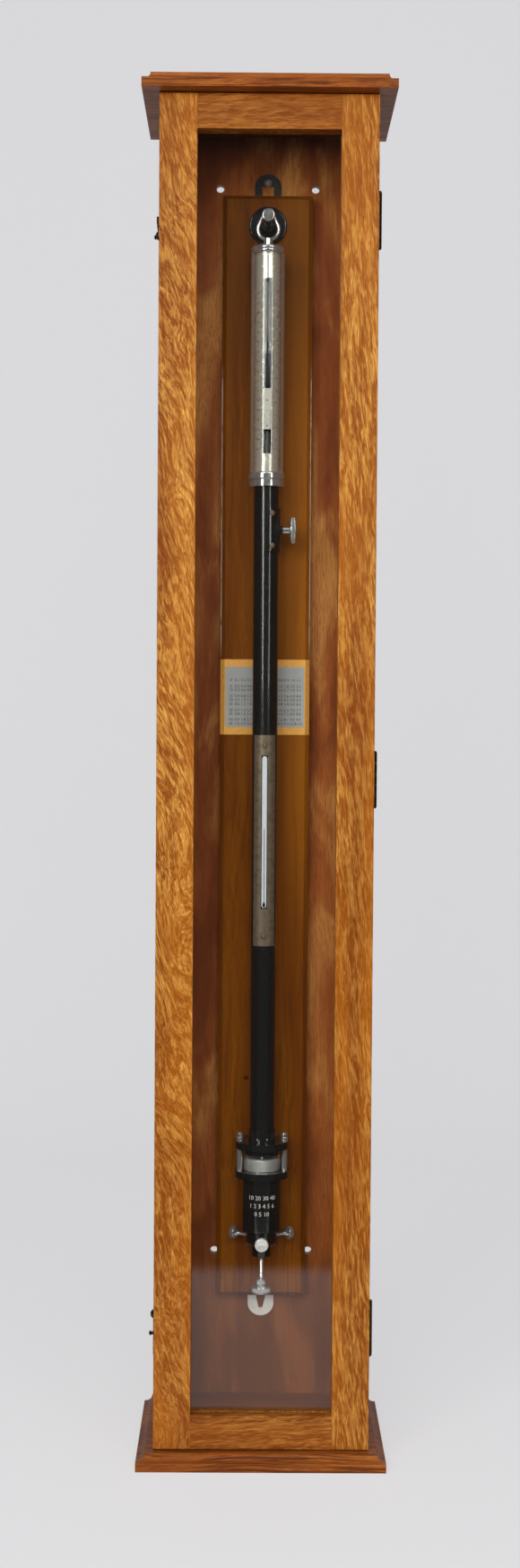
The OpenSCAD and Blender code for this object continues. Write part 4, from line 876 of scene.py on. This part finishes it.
@dataclass
class Assembly:
    """A sub-assembly, which gives its pieces their finish and their body, and reports them."""

    finishes: Finishes

    def add(self, piece: Piece, body: str, finish: str, slot: str, *replaced: str) -> None:
        """Takes a new piece into the model.

        Args:
            piece: the piece.
            body: the body that it moves with.
            finish: its finish.
            slot: the record's material slot; not used.
            *replaced: solids that it stands for.
        """
        self.finishes.put(piece, finish)
        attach(piece, body)
        if replaced:
            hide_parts(*replaced)
        LOG.info("%s: %d faces on %s", piece.name, len(piece.data.polygons), body)

    def dress(self, **nodes: str) -> None:
        """Gives solids of the frame their finishes.

        Args:
            **nodes: for each finish, the names of its solids with spaces between them.
        """
        for finish, names in nodes.items():
            for name in names.split():
                self.finishes.put(frame["nodes"][name], finish)


@dataclass
class OakCase(Assembly):
    """The case with its door, hooks and hinges."""

    def build(self) -> None:
        """Dresses the boards and the ironwork."""
        self.dress(oak_upright="side_left side_right door_stile_right glazing_beads",
                   oak_figured="door_stile_left", oak_level="plinth cap",
                   oak_rail="door_rail_top door_rail_bottom", dark_oak_upright="back_panel",
                   dark_oak_level="case_floor", pane="door_glass",
                   bronzed="hinge_case_leaves hinge_door_leaves hinge_pins hook_pivot_screws catch_pins "
                           "upper_hook lower_hook")


@dataclass
class HangingBoard(Assembly):
    """The bevelled board with its hangers, rosette and arm, and the card on its label."""

    ink: float = 0.06 * MM
    type_size: float = 4.2 * MM
    margin: float = 6 * MM
    columns: int = 12
    line_drops: tuple[float, ...] = (14, 20.5, 24.5, 31, 35, 39.5, 46, 50, 56, 60.5)

    def build(self) -> None:
        """Dresses the board and prints the card."""
        self.dress(board="mounting_board", grey_lacquer="upper_hanger", matt_nickel="lower_hanger",
                   steel="hanging_screw", amber="label", grey_card="label_card",
                   black_lacquer="rosette centring_bracket", nickel="bracket_arm suspension_ring")
        self.add(self.card_rows(), "case", "ink", "grey_card")

    def card_rows(self) -> Piece:
        """Rows of plain numbers on the card, a made-up table of small corrections.

        Returns:
            The printed rows.
        """
        low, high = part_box("label_card")
        sides = np.linspace(low.x + self.margin, high.x - self.margin, self.columns)
        rows = []
        for line, drop in enumerate(self.line_drops):
            values = [f"{0.1 * (line + 1) * column:.1f}" for column in range(1, self.columns)]
            rows += [(text, side, high.z - drop * MM) for text, side in zip([str(5 * line), *values], sides)]
        return lettering("card_rows", rows, self.type_size, self.ink, "CENTER", flat(low.y - self.ink / 2))


@dataclass
class ScaleTube(Assembly):
    """The upper tube with its shroud and the divisions beside its slot."""

    ink: float = 0.05 * MM
    mark: float = 0.2 * MM
    lengths: tuple[float, ...] = (3.4 * MM, 2.5 * MM, 1.7 * MM)
    type_size: float = 2.3 * MM
    number_gap: float = 4 * MM
    slot_play: float = 0.3 * MM
    slot_gap: float = 0.7 * MM
    reading: int = 760
    first: int = 738
    last: int = 907
    inch: float = 25.4

    def __post_init__(self) -> None:
        """Measures the tube's surface, where its scales have their zero, and where the slot's edge lies."""
        radius = half_width("scale_tube")
        self.places = wrapped(radius)
        self.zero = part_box("vernier_sleeve")[0].z - self.reading * MM
        slot = half_width("vernier_plate") + self.slot_play
        self.edge = math.asin(slot / radius) * radius + self.slot_gap

    def build(self) -> None:
        """Dresses the tube and divides its two scales."""
        self.dress(nickel="top_cap lower_collar", tube_glass="glass_shroud", silvered="scale_tube")
        self.add_marks()
        self.add_numbers()

    def add_marks(self) -> None:
        """Millimetres on the left of the slot and twentieths of an inch on its right."""
        whole = np.arange(self.first, self.last + 1)
        part = np.arange(math.ceil(self.first / self.inch * 20), math.floor(self.last / self.inch * 20))
        left = spans(-self.edge - mark_lengths(whole, 10, self.lengths), -self.edge)
        right = spans(self.edge, self.edge + mark_lengths(part, 20, self.lengths))
        rise = np.concatenate([whole * MM, part * self.inch / 20 * MM]) + self.zero
        marks = slabs("scale_marks", self.places, np.concatenate([left, right]), rise, self.mark, self.ink, 4)
        self.add(marks, "barometer", "ink", "silvered_brass")

    def add_numbers(self) -> None:
        """Plain numbers every 10 mm and every half inch."""
        side = self.edge + self.number_gap
        millimetres = [(str(n), -side, self.zero + n * MM) for n in range(740, self.last, 10)]
        inches = [(f"{n / 2:g}", side, self.zero + n / 2 * self.inch * MM) for n in range(59, 72)]
        for name, rows, align in (("millimetre_numbers", millimetres, "RIGHT"),
                                  ("inch_numbers", inches, "LEFT")):
            piece = lettering(name, rows, self.type_size, 2 * self.ink, align, self.places)
            self.add(piece, "barometer", "ink", "silvered_brass")


@dataclass
class Vernier(Assembly):
    """The sliding vernier with its divisions and screws, and the milled knob that drives it."""

    ink: float = 0.04 * MM
    mark: float = 0.2 * MM
    lengths: tuple[float, ...] = (2.1 * MM, 1.7 * MM, 1.1 * MM)
    type_size: float = 2.0 * MM
    parts: int = 20
    step: float = 0.95 * MM
    foot: float = 0.3 * MM
    inset: float = 0.15 * MM
    screw: float = 0.75 * MM
    screw_insets: tuple[float, float] = (3.6 * MM, 12.2 * MM)
    ridges: int = 84
    ridge: float = 0.45 * MM
    hub: float = 3.6 * MM
    hub_length: float = 7.1 * MM
    fillet: float = 0.6 * MM
    knob_edge: float = 1.5 * MM
    dish_insets: tuple[float, float] = (3.2 * MM, 4.4 * MM)
    dish_depths: tuple[float, float] = (0.5 * MM, 0.6 * MM)

    def __post_init__(self) -> None:
        """Measures the plate."""
        self.low, self.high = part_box("vernier_plate")

    def build(self) -> None:
        """Dresses the vernier, divides its plate and mills the knob."""
        self.dress(black_lacquer="vernier_sleeve pinion_housing", enamel="vernier_plate",
                   brass="vernier_rack vernier_pinion")
        self.add_marks()
        self.add_screws()
        self.add_knob()

    def add_marks(self) -> None:
        """Twenty parts along both edges of the plate, with a number at each ten."""
        places = flat(self.low.y)
        part = np.arange(self.parts + 1)
        length = mark_lengths(part, 10, self.lengths)
        left, right = self.low.x + self.inset, self.high.x - self.inset
        side = np.concatenate([spans(left, left + length), spans(right - length, right)])
        rise = self.low.z + self.foot + part * self.step
        marks = slabs("vernier_marks", places, side, np.tile(rise, 2), self.mark, self.ink)
        self.add(marks, "vernier", "ink", "silvered_brass")
        rows = [(str(n // 2), 0, rise[n]) for n in (10, 20)]
        numbers = lettering("vernier_numbers", rows, self.type_size, 2 * self.ink, "CENTER", places)
        self.add(numbers, "vernier", "ink", "silvered_brass")

    def add_screws(self) -> None:
        """Two small round-headed screws that hold the plate to the sleeve."""
        lower, upper = self.screw_insets
        for number, height in enumerate((self.low.z + lower, self.high.z - upper)):
            place = Vector(((self.low.x + self.high.x) / 2, self.low.y, height))
            screw = small_screw(f"vernier_screw_{number}", Axis(place, AHEAD, RIGHT), self.screw)
            self.add(screw, "vernier", "bronzed", "hinge_iron")

    def add_knob(self) -> None:
        """Milled knob with a dished face on its hub, in the space of the plain knob of the frame."""
        low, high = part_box("vernier_knob")
        centre = middle("vernier_knob")
        axis = Axis(Vector((0, centre.y, centre.z)), RIGHT, -AHEAD)
        radius, neck, face = (high.z - low.z) / 2, low.x + self.hub_length, high.x
        hub = [[0, low.x, 0], [self.hub, low.x, 0], [self.hub, neck - self.fillet, 0],
               [self.hub + self.fillet, neck, 0]]
        rim = rounded(radius, neck, face, self.knob_edge, self.ridge, 9)
        dish = dished(radius, face, self.dish_insets, self.dish_depths)
        knob = milled("milled_knob", axis, np.concatenate([hub, rim, dish]), self.ridges)
        self.add(knob, "vernier_drive", "nickel", "nickel", "vernier_knob")


@dataclass
class TubeAndThermometer(Assembly):
    """The lacquered body tube with the thermometer on its front."""

    ink: float = 0.05 * MM
    mark: float = 0.22 * MM
    lengths: tuple[float, ...] = (3.0 * MM, 2.2 * MM, 1.4 * MM)
    type_size: float = 2.6 * MM
    number_gap: float = 3.5 * MM
    slot: float = 3.3 * MM
    slot_gap: float = 0.5 * MM
    top_drop: float = 9.0 * MM
    ten: float = 19.2 * MM
    tens: int = 7
    hottest: int = 50
    end: float = 1 * MM
    strip: float = 2.6 * MM
    strip_back: float = 0.7 * MM
    strip_front: float = 0.3 * MM
    thread: float = 0.3 * MM
    thread_share: float = 0.52
    bulb: tuple[float, float] = (1.5 * MM, 2.6 * MM)
    bulb_rise: float = 3 * MM
    bulb_turn: float = 1.1
    bore_rise: float = 7 * MM

    def build(self) -> None:
        """Dresses the tube and divides the thermometer's plate."""
        self.dress(black_lacquer="body_tube", inner_glass="barometer_tube", tube_glass="thermometer",
                   mercury="mercury_column", cork="tube_packing", old_brass="tube_screws",
                   plate="thermometer_plate")
        self.add_marks()
        self.add_stem()

    def add_marks(self) -> None:
        """Degrees on both sides of the stem, with a number at each ten."""
        radius = middle("body_tube").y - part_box("thermometer_plate")[0].y
        places = wrapped(radius)
        edge = math.asin(self.slot / radius) * radius + self.slot_gap
        degree = np.arange(10 * self.tens + 1)
        length = mark_lengths(degree, 10, self.lengths)
        side = np.concatenate([spans(-edge - length, -edge), spans(edge, edge + length)])
        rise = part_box("thermometer")[1].z - self.top_drop - degree * self.ten / 10
        marks = slabs("degree_marks", places, side, np.tile(rise, 2), self.mark, self.ink, 4)
        self.add(marks, "barometer", "ink", "silvered_brass")
        rows = [(str(abs(self.hottest - n)), -edge - self.number_gap, rise[n]) for n in degree[::10]]
        numbers = lettering("degree_numbers", rows, self.type_size, 2 * self.ink, "RIGHT", places)
        self.add(numbers, "barometer", "ink", "silvered_brass")

    def add_stem(self) -> None:
        """White strip with round ends and a dark thread inside the stem.

        The strip's half width at a height is the half width of a circle at its ends, and level between them.
        """
        centre, (foot, head) = middle("thermometer"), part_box("thermometer")
        low, high = foot.z + self.end, head.z - self.end
        rise = low + (high - low) * (0.5 - 0.5 * np.cos(np.linspace(0, math.pi, 61)))
        from_end = np.minimum(np.minimum(rise - low, high - rise), self.strip)
        half = np.sqrt(np.maximum(self.strip ** 2 - (self.strip - from_end) ** 2, 0))
        depth = centre.y + np.array([self.strip_back, self.strip_front, self.strip_front, self.strip_back])
        points = np.stack(np.broadcast_arrays(centre.x + half[:, None] * np.array([-1, -1, 1, 1]), depth,
                                              rise[:, None]), -1)
        strip = mesh_piece("stem_backing", points, grid_faces(len(rise), 4, wrap_columns=True), smooth=False)
        self.add(strip, "barometer", "milk_glass", "silvered_brass")
        level = low + self.thread_share * (high - low)
        turn = np.linspace(-math.pi / 2, self.bulb_turn, 9)
        wide, tall = self.bulb
        bulb = np.stack([wide * np.cos(turn), low + self.bulb_rise + tall * np.sin(turn)], -1)
        bore = [[self.thread, low + self.bore_rise], [self.thread, level], [0, level + self.thread]]
        thread = turned("stem_thread", upright_axis("thermometer"), np.concatenate([bulb, bore]), 24)
        self.add(thread, "barometer", "ink", "mercury")


@dataclass
class Cistern(Assembly):
    """The glass cistern with its mercury, the leather bag below it and the screw that lifts the bag."""

    play: float = 0.05 * MM
    tube: float = 5.05 * MM
    curve: float = 1.3 * MM
    pleats: int = 18
    pleat: float = 0.8 * MM
    skin: float = 1.2 * MM
    bag_foot: float = 13.0 * MM
    bag_swell: float = 0.85
    bag_travel: float = 14 * MM
    ridges: int = 60
    ridge: float = 0.4 * MM
    shank: float = 2.5 * MM
    collar: float = 4.9 * MM
    collar_ridge: float = 0.3 * MM
    wheel_top: float = 7.3 * MM
    wheel_edge: float = 0.9 * MM
    collar_top: float = 14.6 * MM
    collar_edge: float = 0.7 * MM
    pitch: float = 1.25 * MM
    thread: float = 0.3 * MM
    thread_ends: tuple[float, float] = (2 * MM, 1 * MM)
    socket: float = 14.5 * MM
    socket_screw: float = 1.0 * MM
    socket_drop: float = 3.2 * MM
    socket_angle: float = 21
    cup: float = 20.7 * MM
    cup_rows: tuple[tuple[str, float], ...] = (("10 20 30 40", 19.5), ("1 2 3 4 5 6", 28), ("0 5 10", 36.5))
    cup_type: float = 6.2 * MM
    cup_ink: float = 0.1 * MM

    def __post_init__(self) -> None:
        """Measures the bag: its axis, foot and mouth."""
        self.axis = upright_axis()
        self.foot, self.mouth = (corner.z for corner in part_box("leather_bag"))
        self.mouth_radius = half_width("leather_bag")

    def build(self) -> None:
        """Dresses the cistern and makes its soft, liquid and milled pieces."""
        self.dress(black_lacquer="cistern_top_flange cistern_bottom_flange cistern_cup",
                   cistern_glass="cistern_glass", nickel="cistern_pillars", ivory="ivory_pointer",
                   cork="bag_button")
        self.add_pool()
        self.add_bag()
        self.add_wheel()
        self.add_socket_screws()
        self.add_cup_rows()

    def add_pool(self) -> None:
        """Mercury seen in the glass, its surface curving down at the glass and at the tube."""
        flange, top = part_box("cistern_bottom_flange")[1].z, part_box("cistern_mercury")[1].z
        radius, neck = half_width("cistern_mercury") + self.play, self.mouth_radius - self.skin - self.play
        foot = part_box("barometer_tube")[0].z - 2 * self.play
        turn = quarter(7)
        droop, fall = self.curve - self.curve * np.cos(turn), self.curve - self.curve * np.sin(turn)
        outer = np.stack([radius - droop, top - fall], -1)
        inner = np.stack([self.tube + droop, top - fall], -1)
        below = [[0, self.mouth], [neck, self.mouth], [neck, flange], [radius, flange + self.play]]
        profile = np.concatenate([below, outer, inner[::-1], [[self.tube, foot], [0, foot]]])
        pool = turned("mercury_pool", self.axis, profile, 96)
        self.add(pool, "barometer", "mercury", "mercury", "cistern_mercury")

    def gathers(self, angle: np.ndarray) -> np.ndarray:
        """Depth of the bag's pleats at an angle: valleys a little uneven round it."""
        return self.pleat * (0.5 - 0.5 * np.cos(self.pleats * angle + 0.6 * np.sin(3 * angle)))

    def add_bag(self) -> None:
        """Gathered leather bag and the mercury in it.

        From its foot the bag swells to its mouth along a quarter of a sine; its pleats fade at both ends.
        """
        rise = np.linspace(0, 1, 26)
        height = self.foot + (self.mouth - self.foot) * rise
        swell = np.sin(np.clip(rise / self.bag_swell, 0, 1) * math.pi / 2)
        radius = self.bag_foot + (self.mouth_radius - self.bag_foot) * swell
        weight = np.sin(rise * math.pi) ** 0.7
        bottom = self.foot + self.skin
        outer = np.stack([radius, height, weight], -1)
        inner = np.stack([radius - self.skin, np.maximum(height, bottom), weight], -1)
        profile = np.concatenate([[[0, self.foot, 0]], outer, inner[::-1], [[0, bottom, 0]]])
        bag = turned("gathered_bag", self.axis, profile, 10 * self.pleats, self.gathers)
        level = np.clip(height, bottom + self.play, self.mouth - self.play)
        fill = np.stack([radius - self.skin - self.pleat - 2 * self.play, level], -1)
        ends = fill[[0, -1]] * [0, 1]
        filling = turned("bag_mercury", self.axis, np.concatenate([ends[:1], fill, ends[1:]]), 64)
        self.add(bag, "barometer", "kid_leather", "leather", "leather_bag")
        self.add(filling, "barometer", "mercury", "mercury")
        for piece in (bag, filling):
            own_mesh(piece)

    def add_wheel(self) -> None:
        """Adjusting screw with its collar and milled wheel, in the space of the plain screw of the frame."""
        low, high = (corner.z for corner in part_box("adjusting_screw"))
        wheel_top, collar_top, boss = low + self.wheel_top, low + self.collar_top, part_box("cistern_cup")[0].z
        wheel = rounded(half_width("adjusting_screw"), low, wheel_top, self.wheel_edge, self.ridge, 9)
        collar = rounded(self.collar, wheel_top, collar_top, self.collar_edge, self.collar_ridge, 5)
        start, end = collar_top + self.thread_ends[0], boss - self.thread_ends[1]
        shaft = threaded(self.shank, start, end, self.pitch, self.thread)
        above = [[self.shank, boss, 0], [self.shank, high, 0], [0, high, 0]]
        profile = np.concatenate([[[0, low, 0]], wheel, collar, [[self.shank, collar_top, 0]], shaft, above])
        screw = milled("milled_screw", self.axis, profile, self.ridges)
        self.add(screw, "level_screw", "nickel", "nickel", "adjusting_screw")

    def add_socket_screws(self) -> None:
        """Two small screws in the socket above the upper flange."""
        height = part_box("cistern_pillars")[1].z - self.socket_drop
        for number, side in enumerate((-1, 1)):
            out = outward(math.degrees(FRONT) + side * self.socket_angle)
            place = self.axis.origin + self.socket * out + height * UP
            screw = small_screw(f"socket_screw_{number}", Axis(place, out, UP), self.socket_screw)
            self.add(screw, "barometer", "steel", "nickel")

    def add_cup_rows(self) -> None:
        """Three short rows of plain numbers on the front of the cup."""
        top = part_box("cistern_cup")[1].z
        rows = [(text, 0, top - drop * MM) for text, drop in self.cup_rows]
        ink = lettering("cup_rows", rows, self.cup_type, self.cup_ink, "CENTER", wrapped(self.cup))
        self.add(ink, "barometer", "white_ink", "black_lacquer")


@dataclass
class CentringScrews(Assembly):
    """The three thumb screws round the foot of the cistern."""

    ridges: int = 44
    ridge: float = 0.35 * MM
    tip: float = 10.6 * MM
    tip_bevel: float = 0.4 * MM
    shank: float = 1.8 * MM
    pitch: float = 0.7 * MM
    thread: float = 0.22 * MM
    thread_ends: tuple[float, float] = (0.6 * MM, 0.5 * MM)
    flare: float = 4 * MM
    flare_share: float = 0.75
    flare_power: float = 1.6
    head: float = 31 * MM
    head_radius: float = 7.1 * MM
    head_thick: float = 5.5 * MM
    head_edge: float = 1.2 * MM
    dish_insets: tuple[float, float] = (2.0 * MM, 2.6 * MM)
    dish_depths: tuple[float, float] = (0.35 * MM, 0.15 * MM)

    def build(self) -> None:
        """Mills each screw in the space of the plain one of the frame."""
        place = upright_axis().origin + middle("centring_screw_front").z * UP
        # Painted light: the front screw gets the lit copy of the nickel; the side ones keep the polished
        # nickel.
        for name, degrees, finish in (("front", -90, "lit_nickel"), ("left", 150, "nickel"),
                                      ("right", 30, "nickel")):
            screw = self.screw(f"thumb_screw_{name}", Axis(place, outward(degrees), UP))
            self.add(screw, f"{name}_centring_screw", finish, "nickel", f"centring_screw_{name}")

    def screw(self, name: str, axis: Axis) -> Piece:
        """One thumb screw: a threaded shank, a flare and a milled head with a dished face.

        Args:
            name: the screw's name.
            axis: its axis, pointing outwards from the barometer.

        Returns:
            The screw.
        """
        neck, face = self.head - self.flare, self.head + self.head_thick
        tip = [[0, self.tip, 0], [self.shank - self.tip_bevel, self.tip, 0]]
        start, end = self.tip + self.thread_ends[0], neck - self.thread_ends[1]
        shaft = threaded(self.shank, start, end, self.pitch, self.thread)
        rise = np.linspace(0, 1, 7)
        swell = (self.flare_share * self.head_radius - self.shank) * rise ** self.flare_power
        flare = np.stack([self.shank + swell, neck + self.flare * rise, 0 * rise], -1)
        rim = rounded(self.head_radius, self.head, face, self.head_edge, self.ridge, 7)
        dish = dished(self.head_radius, face, self.dish_insets, self.dish_depths)
        return milled(name, axis, np.concatenate([tip, shaft, flare, rim, dish]), self.ridges)


@dataclass(frozen=True)
class Lamp:
    """A rectangular soft lamp that faces the middle of the object; watts is its power."""

    name: str
    place: tuple[float, float, float]
    width: float
    height: float
    watts: float
    colour: Colour = (1.0, 0.995, 0.98)
    mirrored: bool = True

    def hang(self) -> None:
        """Puts the lamp into the scene, and hides it from glass and metal where they don't mirror it."""
        data = bpy.data.lights.new(self.name, "AREA")
        data.shape, data.size, data.size_y = "RECTANGLE", self.width, self.height
        data.energy, data.color = self.watts, self.colour
        lamp = bpy.data.objects.new(self.name, data)
        lamp.location = self.place
        lamp.visible_glossy = self.mirrored
        aim = Vector((0, 0, 0.7)) - Vector(self.place)
        lamp.rotation_euler = aim.to_track_quat("-Z", "Y").to_euler()
        bpy.context.scene.collection.objects.link(lamp)


@dataclass
class Studio:
    """Pale floor that sweeps up behind the object, soft lamps, and the camera at the photograph's place."""

    pale: Colour = linear(230, 229, 231)
    dark: Colour = (0.02, 0.02, 0.02, 1)
    room: Colour = (0.8, 0.81, 0.84, 1)
    image_height: int = 1750
    focal: float = 2213.84
    sensor: float = 36.0
    place: tuple[float, float, float] = (-0.01610, -2.05654, 0.76174)
    yaw: float = 0.0055
    pitch: float = 0.0356
    roll: float = -0.0068
    glass_layers: int = 32
    fill: float = 0.1
    mirrored: float = 0.05
    glow: float = 0.7
    paper_front: float = -1.1
    paper_fade: tuple[float, float] = (-0.8, -0.72)
    paper_far: float = 1.3
    paper_bend: float = 0.9
    paper_top: float = 6.0
    paper_half: float = 5.0
    lamps: tuple[Lamp, ...] = (
        Lamp("front_softbox", (-0.15, -3.0, 1.3), 1.4, 1.4, 51, (1.0, 0.99, 0.975), mirrored=False),
        Lamp("left_window", (-1.26, -2.27, 1.4), 0.6, 1.2, 21, (1.0, 0.99, 0.97)),
        Lamp("right_window", (1.36, -2.2, 1.4), 0.25, 1.2, 7, (0.98, 0.99, 1.0)),
        Lamp("upper_left_window", (-0.95, -3.0, 2.15), 1.1, 0.9, 14),
        Lamp("upper_right_window", (0.95, -3.0, 2.15), 1.1, 0.9, 14),
        Lamp("top_softbox", (0.0, -0.9, 3.2), 2.4, 1.8, 18, (1.0, 1.0, 1.0)),
    )

    def build(self) -> None:
        """Makes the sweep, the surroundings, the lamps and the camera."""
        self.sweep()
        self.surroundings()
        for lamp in self.lamps:
            lamp.hang()
        self.camera()
        bpy.context.scene.view_settings.view_transform = "Standard"
        bpy.context.scene.cycles.transparent_max_bounces = self.glass_layers

    def sweep(self) -> None:
        """Floor that bends up into a wall: straight, then a quarter circle, then straight up."""
        turn, far, bend = quarter(24)[1:], self.paper_far, self.paper_bend
        path = np.concatenate([[[self.paper_front, 0.0], [far, 0.0]],
                               np.stack([far + bend * np.sin(turn), bend - bend * np.cos(turn)], -1),
                               [[far + bend, self.paper_top]]])
        across = np.array([-self.paper_half, self.paper_half])[:, None]
        points = np.stack(np.broadcast_arrays(across, path[None, :, 0], path[None, :, 1]), -1)
        floor = mesh_piece("sweep", points, grid_faces(2, len(path)))
        if floor.data.polygons[0].normal.z < 0:
            floor.data.flip_normals()
        floor.data.materials.append(self.paper())

    def paper(self) -> Material:
        """The sweep's paper, which glows a little to the eye, a mirror or glass.

        Its back is clear to the eye. Its front edge is pale to the eye alone; in mirrors that part is dark.

        Returns:
            The material.
        """
        paint = Paint("sweep_paper")
        path = paint.add("LightPath").outputs
        eye = path["Is Camera Ray"]
        shown = paint.math("MAXIMUM", eye, paint.fade(paint.part("Y"), *self.paper_fade))
        colour = paint.mix(shown, self.dark, self.pale)
        direct = paint.math("MAXIMUM", eye, path["Is Glossy Ray"])
        seen = paint.math("MAXIMUM", direct, path["Is Transmission Ray"])
        lit = paint.add("BsdfDiffuse", {"Color": colour})
        front = paint.blend(paint.times(seen, self.glow), lit, paint.add("Emission", {"Color": colour}))
        away = paint.times(eye, paint.add("NewGeometry").outputs["Backfacing"])
        return paint.end(paint.blend(away, front, paint.add("BsdfTransparent")))

    def surroundings(self) -> None:
        """Even light of the room: dimmer where it is mirrored, and to the eye as pale as the paper."""
        paint = Paint("room", world=True)
        path = paint.add("LightPath").outputs
        dimmed = paint.add("MapRange", {0: path["Is Glossy Ray"], 3: self.fill, 4: self.mirrored})
        light = paint.add("Background", {"Color": self.room, "Strength": dimmed.outputs[0]})
        backing = paint.add("Background", {"Color": self.pale})
        bpy.context.scene.world = paint.end(paint.blend(path["Is Camera Ray"], light, backing))

    def camera(self) -> None:
        """Places the camera where the photograph was taken from, by yaw, pitch and roll."""
        ahead = Vector((math.sin(self.yaw) * math.cos(self.pitch), math.cos(self.yaw) * math.cos(self.pitch),
                        -math.sin(self.pitch)))
        level = Vector((math.cos(self.yaw), -math.sin(self.yaw), 0))
        under = ahead.cross(level)
        right = math.cos(self.roll) * level + math.sin(self.roll) * under
        down = -math.sin(self.roll) * level + math.cos(self.roll) * under
        data = bpy.data.cameras.new("photograph_view")
        data.sensor_fit, data.sensor_height, data.sensor_width = "VERTICAL", self.sensor, self.sensor
        data.lens = self.focal / self.image_height * self.sensor
        camera = bpy.data.objects.new("photograph_view", data)
        turn = Matrix((right, -down, -ahead)).transposed()
        camera.matrix_world = Matrix.Translation(self.place) @ turn.to_4x4()
        bpy.context.scene.collection.objects.link(camera)
        bpy.context.scene.camera = camera


def main() -> None:
    """Builds the sub-assemblies in order."""
    logging.basicConfig(level=logging.INFO, format="%(message)s")
    Studio().build()
    finishes = Finishes()
    for assembly in (OakCase, HangingBoard, ScaleTube, Vernier, TubeAndThermometer, Cistern, CentringScrews):
        assembly(finishes).build()
        LOG.info("%s is dressed", assembly.__name__)


if __name__ == "__main__":
    main()
